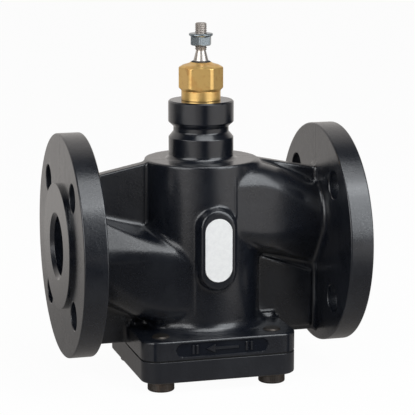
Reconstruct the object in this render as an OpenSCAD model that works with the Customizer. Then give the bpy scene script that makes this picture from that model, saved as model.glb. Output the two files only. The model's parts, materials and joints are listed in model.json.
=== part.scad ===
// Flanged globe valve: a two-way control valve with a cast body, a bolted bottom cover,
// a pressure-balanced plug in a windowed cage, and a brass packing gland round the stem.
// X runs along the pipe, with the inlet at +X and the outlet at -X, and Z runs up the stem.
// The origin is under the stem, on the plane of the cover screws' heads. The plug is shut.

/* [Pipe flanges] */
// Distance between the two sealing faces
face_to_face = 200; // [190:1:220]
// Outside diameter of a flange
flange_d = 150; // [145:1:160]
// Thickness of a flange disc, without its raised face
flange_t = 16; // [14:0.5:19]
// Width of the chamfer on a flange's two rims
flange_edge = 0.8; // [0.4:0.1:2]
// Height of the raised sealing face
raised_face_h = 3; // [2:0.5:4]
// Distance from the flange's rim to the circle that the bolts stand on
bolt_inset = 20; // [19:0.5:21]
// Diameter of a flange bolt hole
bolt_hole_d = 19; // [14:0.5:20]
// Gap between the bolt holes and the raised sealing face
raised_face_gap = 3.5; // [2:0.5:5]
// Number of flange bolt holes
bolt_holes = 4; // [4, 8]
// Bore of the pipe port
port_d = 40; // [36:1:42]
// Length of the straight part of the port bore
port_straight = 12; // [9:0.5:16]
// Width of the chamfer at the port's mouth
port_mouth = 2.5; // [1:0.5:4]

/* [Barrel] */
// Diameter of the barrel at its flat top
barrel_top_d = 76.4; // [75:0.2:82]
// Diameter of the barrel at its foot
barrel_foot_d = 77.6; // [76.4:0.2:84]
// Height of the barrel's flat top over the pipe axis
barrel_rise = 55.2; // [54:0.2:60]
// Chamfer round the barrel's flat top
barrel_edge = 1; // [0.4:0.2:2]
// Height of the body's bottom face over the pipe flanges' lowest points
base_lift = 5; // [3:0.5:8]
// Diameter of the two chambers inside the barrel
chamber_d = 62; // [58:0.5:64]
// Thickness of the barrel's roof
roof_t = 8; // [6:0.5:8.5]
// Thickness of the bridge between the two chambers
bridge_t = 9; // [7:0.5:10]
// Radius of the fillet where the barrel meets the base flange
foot_fillet_r = 7; // [3:0.5:9]

/* [Passages] */
// Thickness of the passage wall
passage_wall = 5.5; // [4:0.25:5.5]
// Distance of the passage's root section from the stem axis
passage_root_x = 14; // [10:0.5:18]
// Distance of the passage's middle section from the stem axis
passage_mid_x = 39; // [36:0.5:46]
// Half the width of the root section
root_side = 35.4; // [33:0.1:36]
// Top of the root section over the pipe axis
root_top = 54; // [51:0.2:54]
// Depth of the root section's lower corners under the pipe axis
root_low = 3; // [1:0.5:4]
// Half the width of the middle section
mid_side = 31.5; // [30:0.5:33]
// Top of the middle section over the pipe axis
mid_top = 52; // [48:0.5:53]
// Depth of the middle section's lower corners under the pipe axis
mid_low = 6.5; // [4:0.5:8]
// Depth of the middle section's keel under the pipe axis
mid_keel = 12; // [9:0.5:13]
// Radius of the middle section's keel
mid_keel_r = 9; // [7:0.5:10]
// Radius of the corners of the root and middle sections
passage_corner_r = 15; // [12:0.5:17]
// Radius of the round part of the section at the flange
end_round_r = 23; // [22:0.25:25]
// Top of the section at the flange over the pipe axis
end_top = 34.5; // [33:0.5:36]
// Depth of that section's keel under the pipe axis
end_keel = 23; // [21:0.5:26]
// Radius of that section's keel
end_keel_r = 6; // [5.75:0.25:8]

/* [Webs] */
// Thickness of the web plates between the barrel and the flanges
web_t = 10; // [7:0.5:14]
// Height of a web's top edge over the pipe axis, at the barrel
web_top_barrel = 54; // [50:0.5:55]
// Height of a web's top edge over the pipe axis, at the flange
web_top_flange = 45; // [40:0.5:50]
// Height of a web's bottom edge over the body's bottom face
web_foot = 1.5; // [0.5:0.5:8]
// Height that the panel on the inlet's lower web stands out
panel_h = 1.5; // [0.5:0.25:3]
// Gap between that panel and the flange
panel_gap = 3.5; // [2:0.5:8]
// Height of the small pad at a web's foot
foot_pad_h = 4; // [2:0.5:6]
// Width of the small pad at a web's foot
foot_pad_w = 18; // [14:0.5:24]
// Distance that the small pad reaches out from the stem axis
foot_pad_x = 50; // [46:0.5:52]

/* [Base flange and cover] */
// Width of the square base flange and of its cover
base_w = 106; // [104:0.5:112]
// Radius of the square's corners
base_corner_r = 12; // [8:0.5:14]
// Thickness of the base flange on the body
base_t = 13; // [11:0.5:16]
// Thickness of the bottom cover
cover_t = 14.5; // [13:0.5:18]
// Thickness of the cover's gasket
cover_gasket_t = 1; // [0.5:0.25:2]
// Distance that the gasket's edge lies inside the cover's edge
cover_gasket_inset = 0.8; // [0.4:0.2:2]
// Height of the cover's spigot in the barrel
spigot_h = 5; // [3:0.5:8]
// Clearance between the spigot and the chamber wall
spigot_gap = 0.3; // [0.15:0.05:0.6]
// Wall of the spigot round its dish
spigot_wall = 5; // [4:0.5:8]
// Depth of the dish inside the spigot
dish_depth = 7; // [4:0.5:9]
// Distance from the square's edges to a cover screw
screw_inset = 14.5; // [14:0.5:15.5]
// Thread diameter of a cover screw
screw_d = 12; // [10:1:12]
// Diameter of a cover screw's head
screw_head_d = 18; // [16.5:0.5:19]
// Height of a cover screw's head
screw_head_h = 12; // [10:0.5:13]
// Depth that the heads lie in the cover
screw_head_sink = 4.5; // [2:0.5:6]
// Length of a cover screw under its head
screw_l = 25; // [24:0.5:28]
// Width of the hexagon socket in a screw's head
screw_socket_w = 10; // [8:0.5:11]
// Depth of that socket
screw_socket_depth = 6; // [4:0.5:7]
// Chamfer on a screw's head and tip
screw_edge = 1; // [0.5:0.1:1.5]
// Clearance round a screw's shank
screw_gap = 0.1; // [0.05:0.05:0.3]
// Clearance round a screw's head
head_gap = 1; // [0.5:0.1:1.5]

/* [Marks on the body] */
// Width of the pocket in the base flange's front
pocket_w = 63; // [50:1:64]
// Height of that pocket
pocket_h = 9; // [6:0.5:10]
// Depth of that pocket
pocket_depth = 1.2; // [0.6:0.1:2]
// Length of the raised flow arrow in the pocket
arrow_l = 22; // [12:1:26]
// Width of the arrow's head
arrow_w = 6; // [4:0.5:8]
// Width of the name plate boss at its face
boss_w = 23.3; // [21:0.1:26]
// Height of that boss at its face
boss_h = 53; // [46:0.5:56]
// Distance that the boss flares out at its root
boss_flare = 2.2; // [1:0.1:3]
// Height of the boss's face over the barrel
boss_rise = 5.3; // [4.3:0.1:7]
// Depth of the upright rim of the boss's face
boss_land = 0.6; // [0.3:0.1:1]
// Width of the name plate
plate_w = 18.5; // [14:0.5:20]
// Height of the name plate
plate_h = 42.5; // [34:0.5:44]
// Thickness of the name plate
plate_t = 0.6; // [0.4:0.1:1]

/* [Neck] */
// Diameter of the neck
neck_d = 43.6; // [43:0.1:46]
// Height of the neck's plain lower part
neck_low_h = 14.5; // [13:0.5:20]
// Radius of the fillet at the neck's root
neck_fillet_r = 3; // [1.5:0.25:4]
// Height of the taper into the yoke groove
neck_taper_h = 3.9; // [2.5:0.1:5]
// Diameter of the yoke groove
groove_d = 37.2; // [36:0.1:40]
// Height of the yoke groove's floor
groove_h = 3.4; // [2.5:0.1:6]
// Height of the taper out of the yoke groove
collar_taper_h = 3.1; // [2:0.1:4]
// Diameter of the actuator collar on top of the neck
collar_d = 44; // [43:0.1:46]
// Height of the actuator collar
collar_h = 14.4; // [13:0.1:18]
// Chamfer on the actuator collar
collar_edge = 1; // [0.5:0.1:2]

/* [Packing gland] */
// Thread diameter of the gland's shank
gland_thread_d = 24; // [23:0.5:25]
// Length of the gland's shank in the neck
gland_shank_l = 24; // [22:0.5:28]
// Free depth of the neck's bore under the shank
gland_floor_gap = 2; // [1:0.5:3]
// Diameter of the gland's round collar
gland_collar_d = 26.3; // [26:0.1:28]
// Height of the round collar
gland_collar_h = 6.5; // [5:0.5:8]
// Width across the flats of the gland's hexagon
gland_hex_w = 27; // [26.5:0.5:29]
// Diameter that the hexagon's corners are turned down to
gland_hex_d = 29.8; // [29:0.1:31]
// Height of the hexagon
gland_hex_h = 17; // [15:0.5:20]
// Chamfer on top of the hexagon
gland_hex_edge = 1.3; // [0.6:0.1:2]
// Turn of the hexagon about the stem, in degrees
gland_turn = -16; // [-30:1:30]
// Diameter of the rim round the wiper
wiper_rim_d = 17; // [16:0.5:20]
// Height of the rim round the wiper
wiper_rim_h = 2; // [1:0.5:3]
// Outside diameter of the stem wiper
wiper_d = 13; // [12:0.5:14]
// Height of the stem wiper
wiper_h = 3.5; // [2.5:0.5:4]
// Bore of the packing chamber in the gland
packing_d = 16; // [15:0.5:17]
// Roof of brass over the packing chamber, under the wiper
packing_roof_t = 1.5; // [1:0.25:2]
// Length of the guide bush in the gland
gland_bush_l = 10; // [8:0.5:12]
// Thickness of one packing ring
packing_ring_t = 3; // [2.5:0.25:3.25]
// Number of packing rings
packing_ring_count = 4; // [3:1:4]
// Depth of the V of a packing ring
packing_v = 1; // [0.5:0.1:1.4]
// Play between one packing ring and the next
packing_gap = 0.05; // [0.02:0.01:0.1]
// Thickness of the follower under the packing
follower_t = 2; // [1.5:0.25:3]
// Free height of the packing spring as fitted
spring_l = 14; // [12:0.5:15]
// Wire of the packing spring
spring_wire_d = 1.4; // [1:0.1:1.6]
// Turns of the packing spring
spring_turns = 6; // [4:1:6]
// Thickness of the washer under the spring
spring_washer_t = 1.5; // [1:0.25:2]
// Thickness of the retaining ring
retainer_t = 1.2; // [0.8:0.1:1.4]
// Depth of the retaining ring's groove
retainer_groove = 0.7; // [0.5:0.1:0.8]
// Section of the O-ring on the gland's shank
gland_ring_t = 1.6; // [1.4:0.1:1.8]
// Height of that O-ring over the shank's end
gland_ring_rise = 10; // [8:0.5:12]

/* [Stem] */
// Diameter of the stem
stem_d = 10; // [9:0.1:10.5]
// Running clearance round the stem
stem_gap = 0.05; // [0.02:0.01:0.1]
// Clearance between the stem and parts that only surround it
stem_free_gap = 0.6; // [0.4:0.1:1]
// Height of the stem's full diameter over the gland's hexagon
stem_rise = 3; // [1:0.5:6]
// Height of the stem's cone
stem_cone_h = 6; // [4:0.5:8]
// Thread diameter at the stem's two ends
stem_thread_d = 8; // [7:0.5:8]
// Length of the stem's upper thread
stem_thread_l = 19; // [17:0.5:24]
// Chamfer on the stem's ends
stem_edge = 0.8; // [0.4:0.1:1.2]
// Length of the bush in the body's neck
neck_bush_l = 16; // [12:0.5:18]
// Outside diameter of the bush in the body's neck
neck_bush_d = 16; // [14:0.5:18]
// Height of the lock nut over the foot of the thread
nut_rise = 4; // [2:0.5:5]
// Width across the flats of the lock nut
nut_w = 13; // [12:0.5:14]
// Height of the lock nut's hexagon
nut_h = 6.6; // [5:0.2:7]
// Diameter of the lock nut's flange
nut_flange_d = 16; // [15:0.5:18]
// Thickness of the lock nut's flange at its rim
nut_flange_t = 1.4; // [1:0.1:2]
// Turn of the lock nut about the stem, in degrees
nut_turn = 8; // [-30:1:30]

/* [Seat and cage] */
// Bore of the seat
seat_bore_d = 36; // [34:0.5:36]
// Diameter of the seat ring's threaded body, in the bridge
seat_thread_d = 52; // [50:0.5:54]
// Diameter of the seat ring's flange
seat_flange_d = 58; // [56:0.5:58.5]
// Thickness of the seat ring's flange
seat_flange_t = 3; // [2:0.5:4]
// Thickness of the gasket under the seat ring's flange
seat_gasket_t = 1; // [0.5:0.25:1.5]
// Height of the seat's raised lip
seat_lip_h = 1; // [0.6:0.1:1.5]
// Width of the seat's raised lip
seat_lip_t = 1.2; // [0.8:0.1:1.6]
// Clearance round parts that are screwed or pressed in
fitted_gap = 0.05; // [0.02:0.01:0.1]
// Clearance between the cage and the bridge's bore
cage_gap = 0.5; // [0.3:0.1:1]
// Thickness of the gasket over the cage
cage_gasket_t = 1; // [0.5:0.25:1.5]
// Number of windows in the cage
cage_windows = 4; // [3:1:5]
// Width of a window
window_w = 20; // [14:1:20]
// Height of a window
window_h = 12; // [9:0.5:12]
// Height of the sill under the windows
window_sill = 2; // [1.5:0.5:3]

/* [Plug] */
// Diameter of the plug
plug_d = 40; // [38.5:0.1:42]
// Running clearance between the plug and its cage
plug_gap = 0.08; // [0.05:0.01:0.1]
// Height of the plug's piston
plug_h = 17.5; // [17.25:0.25:18]
// Lift of the plug from shut to open
lift = 20; // [10:0.5:20]
// Depth of the stem's seat in the plug
stem_seat_depth = 8; // [5:0.5:10]
// Land of the plug over the piston ring
ring_land = 2; // [1.5:0.25:2.25]
// Height of the piston ring
ring_h = 3; // [2.5:0.25:3]
// Radial thickness of the piston ring
ring_t = 1.5; // [1.2:0.1:1.8]
// Distance that the piston ring stands out of the plug
ring_proud = 0.03; // [0.01:0.01:0.04]
// Side clearance of the piston ring in its groove
ring_side_gap = 0.1; // [0.05:0.05:0.2]
// Section of the O-ring behind the piston ring
energiser_t = 1.2; // [1:0.1:1.5]
// Thickness of the plug's soft seal
seal_t = 3; // [2:0.25:4]
// Diameter of the spigot that centres the soft seal
seal_spigot_d = 26; // [25.5:0.5:28]
// Thickness of the throttling cone's rim, under the seal
cone_rim_t = 3; // [2:0.5:4]
// Clearance between the cone's rim and the seat
cone_gap = 0.5; // [0.3:0.1:1]
// Height of the cone's curved part
cone_h = 12; // [9:0.5:14]
// Diameter of the cone's lower end
cone_end_d = 26; // [25:0.5:28]
// Number of balance holes
balance_holes = 4; // [3:1:6]
// Diameter of a balance hole
balance_hole_d = 3.4; // [2.5:0.1:3.6]
// Diameter of the circle of balance holes
balance_circle_d = 20.6; // [20.4:0.1:21]
// Outside diameter of the washer under the plug
plug_washer_d = 16; // [15:0.5:16.5]
// Thickness of that washer
plug_washer_t = 1.6; // [1:0.2:2]
// Width across the flats of the plug nut
plug_nut_w = 13; // [12:0.5:13.5]
// Height of the plug nut
plug_nut_h = 6.8; // [5:0.2:7]
// Length of thread that shows under the plug nut
thread_end = 2; // [1:0.5:4]

/* [Hidden] */
$fn = 72;
hull_fn = 32;
ring_fn = 24;
over = 1;
slice_t = 0.02;

// Heights over the plane of the screw heads
cover_z0 = screw_head_h - screw_head_sink;
cover_z1 = cover_z0 + cover_t;
body_z0 = cover_z1 + cover_gasket_t;
base_z1 = body_z0 + base_t;
axis_z = body_z0 + flange_d / 2 - base_lift;
barrel_z1 = axis_z + barrel_rise;
roof_z = barrel_z1 - roof_t;
bridge_z0 = axis_z - bridge_t / 2;
bridge_z1 = axis_z + bridge_t / 2;
neck_groove_z = barrel_z1 + neck_low_h + neck_taper_h;
collar_z0 = neck_groove_z + groove_h + collar_taper_h;
neck_z1 = collar_z0 + collar_h;

// Places round the barrel
screw_pitch = base_w - 2 * screw_inset;
boss_reach = barrel_top_d / 2 + boss_rise;
web_z0 = body_z0 + web_foot;

// Places along the pipe
flange_x1 = face_to_face / 2;
flange_face_x = flange_x1 - raised_face_h;
flange_back_x = flange_face_x - flange_t;
port_end_x = flange_x1 - port_straight;
channel_end_x = port_end_x - port_mouth;
bolt_circle_r = flange_d / 2 - bolt_inset;
raised_face_r = bolt_circle_r - bolt_hole_d / 2 - raised_face_gap;

// Heights of the gland and of what is stacked in it
shank_z0 = neck_z1 - gland_shank_l;
neck_floor_z = shank_z0 - gland_floor_gap;
hex_z0 = neck_z1 + gland_collar_h;
hex_z1 = hex_z0 + gland_hex_h;
gland_z1 = hex_z1 + wiper_rim_h;
wiper_z0 = gland_z1 - wiper_h;
packing_z1 = wiper_z0 - packing_roof_t;
gland_bush_z0 = packing_z1 - gland_bush_l;
rings_z0 = gland_bush_z0 - packing_ring_count * packing_ring_t;
follower_z0 = rings_z0 - packing_v - follower_t;
spring_z0 = follower_z0 - spring_l;
washer_z0 = spring_z0 - spring_washer_t;
retainer_z0 = washer_z0 - retainer_t;

// Heights of the seat, the plug and the stem, with the plug shut
seal_z0 = bridge_z1 + seat_lip_h;
plug_z0 = seal_z0 + seal_t;
plug_z1 = plug_z0 + plug_h;
cone_rim_z0 = seal_z0 - cone_rim_t;
cone_z0 = cone_rim_z0 - cone_h;
plug_nut_z1 = cone_z0 - plug_washer_t;
stem_z0 = plug_nut_z1 - plug_nut_h - thread_end;
stem_shoulder_z = plug_z1 - stem_seat_depth;
cone_foot_z = hex_z1 + stem_rise;
thread_z0 = cone_foot_z + stem_cone_h;
stem_z1 = thread_z0 + stem_thread_l;
nut_z0 = thread_z0 + nut_rise;

// Radii that several pieces share
stem_r = stem_d / 2;
stem_bore_r = stem_r + stem_gap;
stem_free_r = stem_r + stem_free_gap;
thread_r = stem_thread_d / 2;
cage_r0 = plug_d / 2 + plug_gap;
cage_r1 = seat_thread_d / 2 - cage_gap;
packing_r = packing_d / 2 - fitted_gap;
cone_r = seat_bore_d / 2 - cone_gap;
ring_r1 = plug_d / 2 + ring_proud;
ring_r0 = ring_r1 - ring_t;
ring_groove_r = ring_r0 - energiser_t;
ring_groove_z1 = plug_z1 - ring_land;
ring_groove_z0 = ring_groove_z1 - ring_h - 2 * ring_side_gap;
spring_r = (stem_free_r + packing_r) / 2;

// Colours of the finishes
iron_paint = [0.13, 0.14, 0.16];
brass = [0.80, 0.62, 0.30];
zinc = [0.70, 0.72, 0.76];
steel = [0.66, 0.65, 0.64];
plate_grey = [0.85, 0.85, 0.83];
rubber = [0.06, 0.06, 0.06];
ptfe = [0.90, 0.90, 0.86];
fibre = [0.30, 0.32, 0.31];

// Points of an arc about [x, y], from angle a0 to angle a1
function arc(x, y, r, a0, a1, steps) =
    [for (i = [0 : steps]) let (a = a0 + (a1 - a0) * i / steps) [x + r * cos(a), y + r * sin(a)]];

// A plain ring or washer
module ring(r0, r1, z0, z1) {
    translate([0, 0, z0]) difference() {
        cylinder(r = r1, h = z1 - z0);
        translate([0, 0, -over]) cylinder(r = r0, h = z1 - z0 + 2 * over);
    }
}

// A round bar from z0 to z1
module bar(r, z0, z1) {
    translate([0, 0, z0]) cylinder(r = r, h = z1 - z0);
}

// A round bar along X, from x0 to x1 at the height of the pipe axis
module pipe_bar(r0, r1, x0, x1) {
    translate([x0, 0, axis_z]) rotate([0, 90, 0]) cylinder(r1 = r0, r2 = r1, h = x1 - x0);
}

// A hexagonal prism measured across its flats
module hexagon(w, z0, z1, turn) {
    translate([0, 0, z0]) rotate([0, 0, turn]) cylinder(r = w / 2 / cos(30), h = z1 - z0, $fn = 6);
}

// A copy at each of the four cover screws
module at_screws() {
    for (x = [-1, 1], y = [-1, 1]) translate([x * screw_pitch / 2, y * screw_pitch / 2, 0]) children();
}

// The inlet side as drawn, and the outlet side turned half round the Y axis through the pipe axis
module both_ports() {
    children();
    translate([0, 0, 2 * axis_z]) rotate([0, 180, 0]) children();
}

// A flat outline with round ends, w wide and h high
module stadium(w, h, fn = $fn) {
    square([w, h - w], center = true);
    for (s = [-1, 1]) translate([0, s * (h - w) / 2]) circle(d = w, $fn = fn);
}

// A square plate with round corners
module square_plate(w, corner_r, z0, z1) {
    flat = w - 2 * corner_r;
    translate([0, 0, z0]) linear_extrude(z1 - z0) {
        square([w, flat], center = true);
        square([flat, w], center = true);
        for (x = [-1, 1], y = [-1, 1]) translate([x * flat / 2, y * flat / 2]) circle(r = corner_r);
    }
}

// One cross-section of a passage at x, as thin discs of [y, height over the pipe axis, radius]
module section(x, discs) {
    for (d = discs) translate([x, d[0], axis_z + d[1]])
        rotate([0, 90, 0]) cylinder(r = d[2], h = slice_t, $fn = hull_fn);
}

// Four corner discs of radius r, for a section with half width side between low and top
function corners(side, top, low, corner_r, r) = [for (y = [-1, 1], z = [top - corner_r, corner_r - low])
    [y * (side - corner_r), z, r]];

end_section = [[0, end_top - end_round_r, end_round_r], [0, end_keel_r - end_keel, end_keel_r]];

// The inlet passage, from the barrel's upper half down to its flange
module passage_outside() {
    r = passage_corner_r;
    hull() {
        section(passage_root_x, corners(root_side, root_top, root_low, r, r));
        section(passage_mid_x, corners(mid_side, mid_top, mid_low, r, r));
        section(passage_mid_x, [[0, mid_keel_r - mid_keel, mid_keel_r]]);
        section(flange_back_x + over, end_section);
    }
}

// The channel inside the inlet passage, from the port bore into the upper chamber
module channel() {
    r = passage_corner_r;
    inner_r = r - passage_wall;
    floor_low = passage_wall - bridge_t / 2;
    root_x = sqrt(pow(chamber_d / 2, 2) - pow(root_side - passage_wall, 2)) - over;
    hull() {
        section(root_x, corners(root_side, root_top, floor_low, r, inner_r));
        section(passage_mid_x, corners(mid_side, mid_top, mid_low, r, inner_r));
        section(channel_end_x, [for (d = end_section) [d[0], d[1], d[2] - passage_wall]]);
    }
    pipe_bar(end_round_r - passage_wall - port_mouth, port_d / 2, flange_back_x, port_end_x);
    pipe_bar(port_d / 2, port_d / 2, port_end_x, flange_x1 + over);
    pipe_bar(port_d / 2, port_d / 2 + port_mouth, flange_x1 - port_mouth, flange_x1);
}

// A pipe flange with its raised face
module flange() {
    r = flange_d / 2;
    pipe_bar(r - flange_edge, r, flange_back_x, flange_back_x + flange_edge);
    pipe_bar(r, r, flange_back_x + flange_edge, flange_face_x - flange_edge);
    pipe_bar(r, r - flange_edge, flange_face_x - flange_edge, flange_face_x);
    pipe_bar(raised_face_r, raised_face_r, flange_back_x + flange_edge, flange_x1);
}

module flange_holes() {
    for (i = [0 : bolt_holes - 1]) translate([0, 0, axis_z])
        rotate([(i + 0.5) * 360 / bolt_holes, 0, 0])
            translate([flange_back_x - over, 0, bolt_circle_r])
                rotate([0, 90, 0]) cylinder(d = bolt_hole_d, h = flange_t + 2 * over);
}

// A plate in the valve's middle plane, with its outline given in X and Z
module upright(t, outline) {
    translate([0, t / 2, 0]) rotate([90, 0, 0]) linear_extrude(t) polygon(outline);
}

module webs() {
    for (s = [-1, 1]) {
        upright(web_t, [
            [s * passage_root_x, axis_z + web_top_barrel],
            [s * barrel_top_d / 2, axis_z + web_top_barrel],
            [s * (flange_back_x + flange_edge), axis_z + web_top_flange],
            [s * (flange_back_x + flange_edge), web_z0],
            [s * passage_root_x, web_z0]]);
        pad_y = foot_pad_w / 2;
        translate([min(s * foot_pad_x, s * passage_root_x), -pad_y, base_z1 - over])
            cube([foot_pad_x - passage_root_x, foot_pad_w, foot_pad_h + over]);
    }
    panel_x = flange_back_x - panel_gap;
    panel_drop = end_keel + panel_gap;
    upright(web_t + 2 * panel_h, [
        [passage_root_x, axis_z - bridge_t],
        [barrel_foot_d / 2, axis_z - bridge_t - panel_gap],
        [panel_x, axis_z - panel_drop],
        [panel_x, web_z0 + panel_gap],
        [passage_root_x, web_z0 + panel_gap]]);
}

module barrel() {
    translate([0, 0, body_z0])
        cylinder(d1 = barrel_foot_d, d2 = barrel_top_d, h = barrel_z1 - body_z0 - barrel_edge);
    translate([0, 0, barrel_z1 - barrel_edge])
        cylinder(r1 = barrel_top_d / 2, r2 = barrel_top_d / 2 - barrel_edge, h = barrel_edge);
    foot_r = barrel_foot_d / 2;
    fillet = arc(foot_r + foot_fillet_r, base_z1 + foot_fillet_r, foot_fillet_r, 270, 180, 5);
    rotate_extrude() polygon(concat([[chamber_d / 2 + over, base_z1 - over],
        [foot_r + foot_fillet_r, base_z1 - over]], fillet,
        [[chamber_d / 2 + over, base_z1 + foot_fillet_r]]));
}

module neck_outside() {
    r = neck_d / 2;
    fillet = arc(r + neck_fillet_r, barrel_z1 + neck_fillet_r, neck_fillet_r, 270, 180, 5);
    rotate_extrude() polygon(concat(
        [[0, barrel_z1 - over], [r + neck_fillet_r, barrel_z1 - over]], fillet,
        [[r, barrel_z1 + neck_low_h], [groove_d / 2, neck_groove_z],
        [groove_d / 2, neck_groove_z + groove_h], [collar_d / 2, collar_z0],
        [collar_d / 2, neck_z1 - collar_edge], [collar_d / 2 - collar_edge, neck_z1],
        [0, neck_z1]]));
}

// The boss that carries the name plate, drawn in from its root to its face
module plate_boss() {
    root_w = boss_w + 2 * boss_flare;
    root_y = sqrt(pow(barrel_top_d / 2, 2) - pow(root_w / 2, 2)) - over;
    hull() {
        translate([0, -root_y, axis_z]) rotate([90, 0, 0])
            linear_extrude(over) stadium(root_w, boss_h + 2 * boss_flare, hull_fn);
        translate([0, -boss_reach + boss_land, axis_z]) rotate([90, 0, 0])
            linear_extrude(boss_land) stadium(boss_w, boss_h, hull_fn);
    }
}

// The front pocket of the base flange, with its flow arrow and plain bars left standing
module mark_pocket() {
    pocket_z = body_z0 + base_t / 2;
    shaft_w = arrow_w / 3;
    bar_w = arrow_w / 4;
    translate([0, -base_w / 2 + pocket_depth, pocket_z]) rotate([90, 0, 0])
        linear_extrude(pocket_depth + over) difference() {
            rotate([0, 0, 90]) stadium(pocket_h, pocket_w);
            polygon([[-arrow_l / 2, 0], [-arrow_l / 2 + arrow_w, arrow_w / 2],
                [-arrow_l / 2 + arrow_w, shaft_w / 2], [arrow_l / 2, shaft_w / 2],
                [arrow_l / 2, -shaft_w / 2], [-arrow_l / 2 + arrow_w, -shaft_w / 2],
                [-arrow_l / 2 + arrow_w, -arrow_w / 2]]);
            for (s = [-1, 1], i = [0, 1]) translate([s * (arrow_l / 2 + arrow_w + 2 * i * bar_w), 0])
                square([bar_w, arrow_w], center = true);
        }
}

module body_bores() {
    bar(chamber_d / 2, body_z0 - over, bridge_z0);
    bar(chamber_d / 2, bridge_z1, roof_z);
    bar(seat_thread_d / 2, bridge_z0 - over, bridge_z1 + over);
    bar(neck_bush_d / 2, roof_z - over, roof_z + neck_bush_l);
    bar(stem_free_r, roof_z, neck_floor_z + over);
    bar(gland_thread_d / 2 + fitted_gap, neck_floor_z, neck_z1 + over);
    at_screws() bar(screw_d / 2 + screw_gap, body_z0 - over, base_z1 + over);
}

module valve_body() {
    color(iron_paint) difference() {
        union() {
            barrel();
            neck_outside();
            square_plate(base_w, base_corner_r, body_z0, base_z1);
            webs();
            plate_boss();
            both_ports() {
                passage_outside();
                flange();
            }
        }
        body_bores();
        mark_pocket();
        both_ports() {
            channel();
            flange_holes();
        }
    }
}

module bottom_cover() {
    spigot_r = chamber_d / 2 - spigot_gap;
    spigot_z1 = cover_z1 + spigot_h;
    color(iron_paint) difference() {
        union() {
            square_plate(base_w, base_corner_r, cover_z0, cover_z1);
            bar(spigot_r, cover_z1 - over, spigot_z1);
        }
        bar(spigot_r - spigot_wall, spigot_z1 - dish_depth, spigot_z1 + over);
        at_screws() {
            bar(screw_d / 2 + screw_gap, cover_z0 - over, cover_z1 + over);
            bar(screw_head_d / 2 + head_gap, cover_z0 - over, cover_z0 + screw_head_sink);
        }
    }
}

module cover_gasket() {
    color(fibre) difference() {
        square_plate(base_w - 2 * cover_gasket_inset, base_corner_r - cover_gasket_inset,
            cover_z1, body_z0);
        bar(chamber_d / 2, cover_z1 - over, body_z0 + over);
        at_screws() bar(screw_d / 2 + screw_gap, cover_z1 - over, body_z0 + over);
    }
}

// Four socket head screws, put in from below
module cover_screws() {
    head_r = screw_head_d / 2;
    r = screw_d / 2;
    tip_z = screw_head_h + screw_l;
    color(zinc) at_screws() difference() {
        rotate_extrude() polygon([[0, 0], [head_r - screw_edge, 0], [head_r, screw_edge],
            [head_r, screw_head_h], [r, screw_head_h], [r, tip_z - screw_edge],
            [r - screw_edge, tip_z], [0, tip_z]]);
        hexagon(screw_socket_w, -over, screw_socket_depth, 0);
    }
}

module name_plate() {
    color(plate_grey) translate([0, -boss_reach, axis_z]) rotate([90, 0, 0])
        linear_extrude(plate_t) stadium(plate_w, plate_h);
}

// The hexagon's corners are turned down, and its top is chamfered
module gland_hexagon() {
    r = gland_hex_d / 2;
    intersection() {
        hexagon(gland_hex_w, hex_z0 - over, hex_z1, gland_turn);
        rotate_extrude() polygon([[0, hex_z0 - over], [gland_collar_d / 2, hex_z0 - over],
            [gland_collar_d / 2, hex_z0], [r, hex_z0 + r - gland_collar_d / 2],
            [r, hex_z1 - gland_hex_edge], [gland_collar_d / 2 - gland_hex_edge, hex_z1], [0, hex_z1]]);
    }
}

module gland_housing() {
    thread_r1 = gland_thread_d / 2;
    ring_z = shank_z0 + gland_ring_rise;
    color(brass) difference() {
        union() {
            bar(thread_r1, shank_z0, neck_z1 + over);
            bar(gland_collar_d / 2, neck_z1, hex_z0);
            gland_hexagon();
            bar(wiper_rim_d / 2, hex_z1 - over, gland_z1);
        }
        bar(packing_d / 2, shank_z0 - over, packing_z1);
        bar(stem_free_r, packing_z1 - over, wiper_z0 + over);
        bar(wiper_d / 2, wiper_z0, gland_z1 + over);
        bar(packing_d / 2 + retainer_groove, retainer_z0, washer_z0);
        ring(thread_r1 - gland_ring_t, thread_r1 + over, ring_z - gland_ring_t * 0.6,
            ring_z + gland_ring_t * 0.6);
    }
}

module gland_o_ring() {
    r = gland_ring_t / 2;
    color(rubber) translate([0, 0, shank_z0 + gland_ring_rise]) rotate_extrude()
        translate([gland_thread_d / 2 - r, 0]) circle(r = r, $fn = ring_fn);
}

// A rubber wiper with a bevelled upper lip
module stem_wiper() {
    r1 = wiper_d / 2 - fitted_gap;
    lip = wiper_h / 4;
    color(rubber) rotate_extrude() polygon([[stem_bore_r, wiper_z0], [r1, wiper_z0],
        [r1, gland_z1 - lip], [stem_bore_r + lip, gland_z1], [stem_bore_r, gland_z1]]);
}

module gland_bush() {
    color(ptfe) ring(stem_bore_r, packing_r, gland_bush_z0, packing_z1);
}

// A stack of V-shaped packing rings, each lying in the one above
module packing_rings() {
    mid_r = (stem_bore_r + packing_r) / 2;
    ring_z1 = packing_ring_t - packing_gap;
    color(ptfe) for (i = [0 : packing_ring_count - 1]) translate([0, 0, rings_z0 + i * packing_ring_t])
        rotate_extrude() polygon([[stem_bore_r, 0], [mid_r, -packing_v], [packing_r, 0],
            [packing_r, ring_z1], [mid_r, ring_z1 - packing_v], [stem_bore_r, ring_z1]]);
}

module packing_follower() {
    color(brass) ring(stem_bore_r, packing_r, follower_z0, rings_z0 - packing_v);
}

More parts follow.
